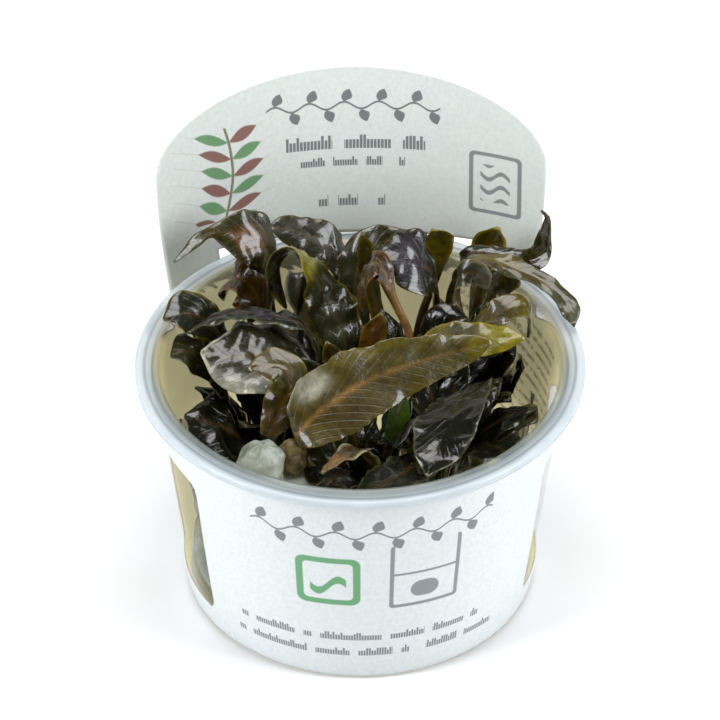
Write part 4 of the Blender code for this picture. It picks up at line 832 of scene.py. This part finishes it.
CARD = 0.4
SLEEVE_FOOT = 0.2
TAB_ANGLE = 130.8
TAB_TOP = 77.2
TAB_WIDEST = 62.7
TAB_HALF_WIDTH = 32.9
TAB_HALF_ROOT = 31.1
TAB_FOOT = 39.0
TAB_CURVE = 66.0
TAB_FRONT = 34.5
TAB_LEAN = 0.1
FLARE_START = 31.0
FLARE_FADE = 15.0
SLOT_COLUMNS = 29
SLOT_LOW = 41.9
SLOT_HIGH = 45.2
WINDOWS = [(-97.0, -56.0), (61.0, 102.0)]
WINDOW_LOW = 4.5
WINDOW_HIGH = 33.8
WINDOW_CORNER = 3.0
CELL = 0.7
ARC_RADIUS = 32.0
RING_COLUMNS = 219
BACK_COLUMNS = 83


def tab_outline(z):
    """Half the tab's width: sides that spread by a quarter of a sine, then a round top whose width falls
    as (1 - rise^2.3)^(1/1.9)."""
    share = (z - TAB_FOOT) / (TAB_WIDEST - TAB_FOOT)
    low = TAB_HALF_ROOT + (TAB_HALF_WIDTH - TAB_HALF_ROOT) * np.sin(0.5 * math.pi * np.clip(share, 0.0, 1.0))
    rise = np.clip((z - TAB_WIDEST) / (TAB_TOP - TAB_WIDEST), 0.0, 1.0)
    return low * (1.0 - rise ** 2.3) ** (1.0 / 1.9)


def tab_depth(x, z):
    """How far back the tab's front face stands: a flat arc that leans back a little."""
    return TAB_FRONT + TAB_LEAN * (z - CUP_TALL) - (TAB_CURVE - np.sqrt(TAB_CURVE ** 2 - x * x))


def sleeve_place(angle, z):
    """Points of the sleeve's inner face at angles counted from the front: a cone that opens, over the last
    FLARE_FADE degrees before the tab and from FLARE_START up, into the tab's flatter arc."""
    turn = np.radians(angle)
    inside = TAB_CURVE - TAB_FRONT - TAB_LEAN * (z - CUP_TALL)
    arc = inside * np.cos(turn) + np.sqrt(TAB_CURVE ** 2 - (inside * np.sin(turn)) ** 2)
    opened = smoothstep((z - FLARE_START) / (CUP_TALL - FLARE_START))
    from_back = np.abs(180.0 - np.abs(angle))
    behind = 1.0 - smoothstep((from_back - 180.0 + TAB_ANGLE) / FLARE_FADE)
    radius = sleeve_radius(z) + (arc - sleeve_radius(z)) * opened * behind
    return np.stack([radius * np.sin(turn), -radius * np.cos(turn), z + 0.0 * turn], axis=-1)


def window_distance(angle, z, window):
    """Millimetres to a window's rounded outline, less than 0 inside it, and the way straight out of it."""
    start, end = window
    half = np.array([math.radians(end - start) * 0.5 * ARC_RADIUS, (WINDOW_HIGH - WINDOW_LOW) * 0.5])
    off = np.stack([np.radians(angle - 0.5 * (start + end)) * ARC_RADIUS,
                    z - 0.5 * (WINDOW_LOW + WINDOW_HIGH)], axis=-1)
    past = np.abs(off) - half + WINDOW_CORNER
    beyond = np.maximum(past, 0.0)
    far = np.linalg.norm(beyond, axis=-1, keepdims=True)
    distance = far[..., 0] + np.minimum(past.max(axis=-1), 0.0) - WINDOW_CORNER
    straight = np.where(past == past.max(axis=-1, keepdims=True), 1.0, 0.0)
    way = np.where(far > 1e-6, beyond / np.maximum(far, 1e-6), straight) * np.sign(off)
    return distance, way


def open_grid(points, first):
    """Quads between the points of an open grid whose first point has that number."""
    rows, columns = points.shape[:2]
    index = first + np.arange(rows * columns).reshape(rows, columns)
    return np.stack([index[:-1, :-1], index[:-1, 1:], index[1:, 1:], index[1:, :-1]], axis=-1)


ring_angles = np.concatenate([np.linspace(-TAB_ANGLE, TAB_ANGLE, RING_COLUMNS),
                              np.linspace(TAB_ANGLE, 360.0 - TAB_ANGLE, BACK_COLUMNS)[1:]])
ring_angle, ring_z = np.meshgrid(ring_angles, np.linspace(SLEEVE_FOOT, TAB_FOOT, 57))
# Points near a window's outline move onto it, and the quads inside it are left out.
for window in WINDOWS:
    distance, way = window_distance(ring_angle, ring_z, window)
    shift = np.where(np.abs(distance) < 0.5 * CELL, distance, 0.0)
    ring_angle = ring_angle - np.degrees(shift * way[..., 0] / ARC_RADIUS)
    ring_z = ring_z - shift * way[..., 1]
ring_points = sleeve_place(ring_angle, ring_z)
mid_angle, mid_z = ((grid[:-1, :-1] + grid[1:, :-1] + grid[:-1, 1:] + grid[1:, 1:]) / 4.0
                    for grid in (ring_angle, ring_z))
solid = np.all([window_distance(mid_angle, mid_z, window)[0] > 0.0 for window in WINDOWS], axis=0)
ring_quads = open_grid(ring_points, 0)[solid]

band_angle = ring_angles[None, :RING_COLUMNS]
away = smoothstep((TAB_ANGLE - 6.0 - np.abs(band_angle)) / 22.0)
band_z = TAB_FOOT + (SLEEVE_TOP - TAB_FOOT) * away * np.linspace(0.0, 1.0, 7)[:, None]
band_points = sleeve_place(band_angle + 0.0 * band_z, band_z)
band_quads = open_grid(band_points, ring_points[..., 0].size).reshape(-1, 4)

# The tab's last row stops just short of 90 degrees, where its two sides would meet in one point.
climb = np.linspace(0.0, math.radians(89.3), 34)[1:, None]
tab_z = np.concatenate([np.linspace(TAB_FOOT, SLOT_LOW, 5)[:, None],
                        np.linspace(SLOT_LOW, SLOT_HIGH, 6)[1:, None],
                        np.linspace(SLOT_HIGH, TAB_WIDEST, 27)[1:, None],
                        TAB_WIDEST + (TAB_TOP - TAB_WIDEST) * np.sin(climb) ** (2.0 / 2.3)])
root_x = ring_points[-1, RING_COLUMNS - 1:, 0]
tab_x = root_x * tab_outline(tab_z) / root_x[0]
tab_points = np.stack([tab_x, tab_depth(tab_x, tab_z), tab_z + 0.0 * tab_x], axis=-1)
tab_points[0] = ring_points[-1, RING_COLUMNS - 1:]
from_middle = np.abs(np.arange(BACK_COLUMNS - 1) + 0.5 - 0.5 * (BACK_COLUMNS - 1))
row_middle = 0.5 * (tab_z[:-1] + tab_z[1:])
in_slot = (row_middle > SLOT_LOW) & (row_middle < SLOT_HIGH) & (from_middle < SLOT_COLUMNS)
tab_quads = open_grid(tab_points, ring_points[..., 0].size + band_z.size)[~in_slot]

ring_arc = np.radians(ring_angle) * ARC_RADIUS
band_arc = np.radians(band_angle) * ARC_RADIUS + 0.0 * band_z
sheet = np.concatenate([np.stack([ring_arc, ring_z, 0.0 * ring_arc], axis=-1).reshape(-1, 3),
                        np.stack([band_arc, band_z, 0.0 * band_arc], axis=-1).reshape(-1, 3),
                        np.stack([tab_x, tab_z + 0.0 * tab_x, 1.0 + 0.0 * tab_x], axis=-1).reshape(-1, 3)])
card_points = np.concatenate([part.reshape(-1, 3) for part in (ring_points, band_points, tab_points)])
card_quads = np.concatenate([ring_quads, band_quads, tab_quads])
card_mesh = bpy.data.meshes.new("card_sleeve")
card_mesh.from_pydata((card_points * MM).tolist(), [], card_quads.tolist())
keep_values(card_mesh, "sheet", sheet)


def card_look(name, **fixed):
    """The look of a face of the card, white coated board, with its place on the sheet: x round the sleeve
    or across the tab, z upwards, and a mask of the tab."""
    look, shader, place = new_look(name, Roughness=0.55, IOR=1.45, Coat_Weight=0.1, Coat_Roughness=0.3,
                                   **fixed)
    x, z, on_tab = kept(place, "sheet", "Vector").axes()
    return look, shader, place, x, z, on_tab.rise(0.4, 0.6)


def bar(x, z, left, right, low, high, corner=0.3, blur=0.08):
    """A mask of a bar with rounded corners, from the distance to its outline."""
    over_x = (abs(x - 0.5 * (left + right)) - (0.5 * (right - left) - corner)).most(0.0)
    over_z = (abs(z - 0.5 * (low + high)) - (0.5 * (high - low) - corner)).most(0.0)
    return 1.0 - ((over_x * over_x + over_z * over_z) ** 0.5).rise(corner - blur, corner + blur)


def within(x, left, right):
    """A mask of the span from left to right."""
    return (x - left).rise(0.0, 0.1) * (right - x).rise(0.0, 0.1)


def dashes(x, z, left, right, low, high, pitch, seed):
    """A mask of a row of short upright dashes of uneven height, broken by gaps at random: the grey of a
    line of small print, without being any."""
    fine = (x - left) / (0.3 * pitch)
    group = x.math("FLOOR", (x - left) / pitch)
    inked = x.node("ShaderNodeTexWhiteNoise", {"noise_dimensions": "1D"}, {"W": group + seed}).rise(0.2, 0.22)
    single = x.math("FLOOR", fine)
    random = x.node("ShaderNodeTexWhiteNoise", {"noise_dimensions": "1D"}, {"W": single + seed * 3.7})
    top = low + (high - low) * (0.66 + 0.34 * random.rise(0.7, 0.72))
    height = (z - low).rise(-0.05, 0.05) * (top - z).rise(-0.05, 0.05)
    stroke = 1.0 - abs(fine - single - 0.5).rise(0.3, 0.42) * 0.85
    return inked * height * stroke * within(x, left, right)


def garland(x, z, left, right, middle, tall, pitch):
    """A mask of a wavy stem with a pointed leaf in each pitch, turned up and down by turns: a leaf's half
    width at a share of its height is a sine."""
    stem = middle + x.math("SINE", (x - left) * (math.pi / pitch)) * (0.12 * tall)
    cell = x.math("FLOOR", (x - left) / pitch)
    side = 1.0 - x.math("FRACT", cell * 0.5) * 4.0
    off = (x - left) - (cell + 0.5) * pitch
    up = (z - stem) * side
    share = (up / (0.5 * tall)).most(0.0).least(1.0)
    width = x.math("SINE", share * math.pi) * (0.3 * pitch)
    leaf = (width - abs(off - up * 0.35)).rise(-0.05, 0.1)
    line = 1.0 - abs(z - stem).rise(0.14, 0.26)
    return leaf.most(line) * within(x, left, right)


outer_look, outer_shader, outer_place, x, z, on_tab = card_look("card_outer_face")
on_ring = (1.0 - on_tab) * (outer_place.axes()[1] * -1.0).rise(0.0, 0.002)
band = garland(x, z, -19.5, 20.5, 34.2, 6.0, 3.1)
small_print = (dashes(x, z, -23.5, 22.5, 9.4, 11.2, 1.5, 11.0)
               .most(dashes(x, z, -24.5, 23.5, 5.6, 7.4, 1.5, 19.0)))
badge = bar(x, z, -12.1, -1.6, 17.9, 28.8, 1.6) * (1.0 - bar(x, z, -10.9, -2.8, 19.1, 27.6, 0.9))
wave = abs(z - 22.4 - x.math("SINE", (x + 6.8) * 0.95) * 1.4).rise(0.75, 0.95)
badge = badge.most((1.0 - wave) * bar(x, z, -9.8, -3.9, 19.8, 26.6, 0.6))
vessel = bar(x, z, 3.1, 14.9, 16.9, 31.5, 0.7) * (1.0 - bar(x, z, 3.8, 14.2, 17.6, 33.0, 0.4))
vessel = vessel.most(bar(x, z, 3.4, 14.6, 24.4, 24.9, 0.2)).most(bar(x, z, 6.6, 11.4, 18.9, 22.6, 1.8))
outer_fibre = outer_place.noise(1400.0, 3.0)
printed = outer_fibre.rise(0.3, 0.7).blend((206, 212, 212), (217, 222, 222))
printed = (band.most(small_print) * on_ring * 0.92).blend(printed, (104, 110, 112))
printed = (badge * on_ring * 0.95).blend(printed, (84, 150, 96))
printed = (vessel * on_ring * 0.9).blend(printed, (112, 120, 122))
feed(outer_shader, Base_Color=printed, Normal=dent(outer_fibre, 0.12, 0.0003))

# The inner face glows with the colour set below: painted light.
inner_look, inner_shader, inner_place, x, z, on_tab = card_look("card_inner_face", Emission_Strength=0.8)
headline = garland(x, z, -14.1, 15.5, 69.9, 5.6, 2.96)
lines = (dashes(x, z, -10.8, 13.0, 61.6, 64.2, 2.0, 47.0).most(dashes(x, z, -8.3, 9.6, 58.3, 60.0, 1.4, 53.0))
         .most(dashes(x, z, -5.3, 6.2, 50.5, 52.6, 1.7, 59.0)))
frame_mark = bar(x, z, 20.3, 29.0, 50.9, 62.7, 0.9) * (1.0 - bar(x, z, 21.0, 28.3, 51.6, 62.0, 0.5))
ripple = abs((z - 57.0 - x.math("SINE", (x - 20.3) * 1.45) * 0.7) / 2.6)
frame_mark = frame_mark.most((1.0 - abs(ripple.math("FRACT", ripple) - 0.5).rise(0.12, 0.2))
                             * bar(x, z, 22.2, 27.1, 53.2, 60.4, 0.4))
lean = x + 21.5 - x.math("SINE", (z - 50.0) * 0.16) * 1.6
stem = 1.0 - abs(lean).rise(0.16, 0.3)
row = (z - 50.6 + abs(lean) * -0.45) / 3.3
in_row = abs(x.math("FRACT", row) - 0.5)
out = abs(lean) / 5.4
leaflet = (x.math("SINE", out.least(1.0) * math.pi) * 0.36 - in_row).rise(-0.03, 0.05)
by_turns = x.math("FLOOR", row) * 0.5 + lean.math("GREATER_THAN", lean, 0.0) * 0.5
russet = x.math("FRACT", by_turns).rise(0.2, 0.3)
sprig = leaflet.most(stem) * bar(x, z, -30.0, -13.0, 50.6, 68.4)
wall_row = (z - x * 0.1) / 2.05
wall_line = 1.0 - abs(x.math("FRACT", wall_row) - 0.5).rise(0.16, 0.26)
wall_ink = wall_line * inner_place.noise(900.0, 2.0, 0.7).rise(0.42, 0.5)
on_right = inner_place.axes()[0].rise(0.004, 0.006)
wall_ink = wall_ink * on_right * within(x, 57.0, 84.0) * within(z, 12.0, 39.0) * (1.0 - on_tab)
fibre = inner_place.noise(1400.0, 3.0)
bare = fibre.rise(0.3, 0.7).blend((214, 219, 215), (224, 228, 224))
# The tab's inner face is painted darker towards its lower middle: painted shade from the plant in front of
# it.
tab_low_shade = (58.0 - z).rise(0.0, 22.0) * (1.0 - abs(x).rise(4.0, 30.0) * 0.7)
bare = (tab_low_shade * on_tab).blend(bare, (176, 182, 172))
# Patches of beige on the ring's inner face: painted shade, with the warm light from the leaves, inside the
# cup.
ring_inner_shade = (1.0 - on_tab) * inner_place.noise(120.0, 2.0).rise(0.1, 0.5)
bare = ring_inner_shade.blend(bare, (206, 200, 160))
printed = (headline.most(lines) * on_tab * 0.92).blend(bare, (100, 106, 108))
printed = (frame_mark * on_tab * 0.85).blend(printed, (112, 118, 120))
printed = (sprig * on_tab * 0.9).blend(printed, russet.blend((86, 138, 84), (122, 70, 56)))
printed = (wall_ink * 0.6).blend(printed, (118, 112, 88))
# The ring's inner face glows beige, less where it is printed: painted light, standing in for the light that
# comes through the card.
painted_card_light = (1.0 - on_tab).blend((0, 0, 0), (wall_ink * 0.7).blend((226, 220, 178), (96, 90, 66)))
feed(inner_shader, Base_Color=printed, Emission_Color=painted_card_light, Normal=dent(fibre, 0.12, 0.0003))

edge_look, edge_shader, edge_place = new_look("card_cut_edge", Roughness=0.8)
feed(edge_shader, Base_Color=edge_place.noise(2400.0, 2.0).blend((226, 226, 220), (244, 244, 240)))

card_mesh.shade_smooth()
for look in (outer_look, inner_look, edge_look):
    card_mesh.materials.append(look)
# The ring, its upper band and the tab are welded where they meet.
weld = bmesh.new()
weld.from_mesh(card_mesh)
bmesh.ops.remove_doubles(weld, verts=weld.verts, dist=0.01 * MM)
bmesh.ops.dissolve_degenerate(weld, edges=weld.edges, dist=0.001 * MM)
weld.to_mesh(card_mesh)
weld.free()
sleeve_piece = bpy.data.objects.new("card_sleeve", card_mesh)
bpy.context.scene.collection.objects.link(sleeve_piece)
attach(sleeve_piece, "root")
thick_card = sleeve_piece.modifiers.new("card", "SOLIDIFY")
thick_card.thickness = CARD * MM
thick_card.offset = 1.0
thick_card.use_even_offset = True
thick_card.material_offset = 1
thick_card.material_offset_rim = 2
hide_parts("sleeve")

# The studio
# A plain white sheet under the plant, a large soft light above, a smaller one in front of it at each
# side, and the camera: a long lens that looks down on the plant from the front.

CAMERA_TURN = -3.0
CAMERA_RISE = 37.7
CAMERA_AWAY = 0.750
CAMERA_LENS = 225.5
AIM = Vector((0.0, 0.0, CUP_TALL * MM))
FLOOR_HALF = 1.5
FLOOR_Z = -0.0005

sheet_look, sheet_shader, sheet_place = new_look("white_sweep", Roughness=0.9)
feed(sheet_shader, Base_Color=sheet_place.noise(30.0, 2.0).blend((247, 247, 247), (250, 250, 250)))
floor_mesh = bpy.data.meshes.new("white_floor")
floor_corners = [(side_x * FLOOR_HALF, side_y * FLOOR_HALF, FLOOR_Z)
                 for side_x, side_y in ((-1, -1), (1, -1), (1, 1), (-1, 1))]
floor_mesh.from_pydata(floor_corners, [], [(0, 1, 2, 3)])
floor_mesh.materials.append(sheet_look)
white_floor = bpy.data.objects.new("white_floor", floor_mesh)
bpy.context.scene.collection.objects.link(white_floor)


def softbox(name, place, width, depth, power, colour):
    """A soft light of this width and depth that faces the plant; place is in metres."""
    light = bpy.data.lights.new(name, "AREA")
    light.shape = "RECTANGLE"
    light.size = width
    light.size_y = depth
    light.energy = power
    light.color = colour
    box = bpy.data.objects.new(name, light)
    box.location = place
    box.rotation_euler = (Vector(place) - AIM).to_track_quat("Z", "Y").to_euler()
    bpy.context.scene.collection.objects.link(box)
    return box


overhead = softbox("overhead_light", (0.0, 0.02, 0.85), 0.55, 0.5, 5.2, (1.0, 0.99, 0.98))
left_light = softbox("left_light", (-0.66, -0.24, 0.40), 0.34, 0.55, 5.6, (0.95, 0.97, 1.0))
right_light = softbox("right_light", (0.66, -0.24, 0.40), 0.34, 0.55, 5.6, (0.95, 0.97, 1.0))

world = bpy.data.worlds.new("studio")
bpy.context.scene.world = world
world.use_nodes = True
background = world.node_tree.nodes["Background"]
background.inputs["Color"].default_value = (1.0, 1.0, 1.0, 1.0)
background.inputs["Strength"].default_value = 0.08
bpy.context.scene.view_settings.view_transform = "Standard"

camera_data = bpy.data.cameras.new("camera")
camera_data.lens = CAMERA_LENS
camera_data.sensor_width = 36.0
camera_data.clip_start = 0.01
camera = bpy.data.objects.new("camera", camera_data)
turn, climb = math.radians(CAMERA_TURN), math.radians(CAMERA_RISE)
back = Vector((math.sin(turn) * math.cos(climb), -math.cos(turn) * math.cos(climb), math.sin(climb)))
camera.location = AIM + back * CAMERA_AWAY
camera.rotation_mode = "QUATERNION"
camera.rotation_quaternion = back.to_track_quat("Z", "Y")
bpy.context.scene.collection.objects.link(camera)
bpy.context.scene.camera = camera
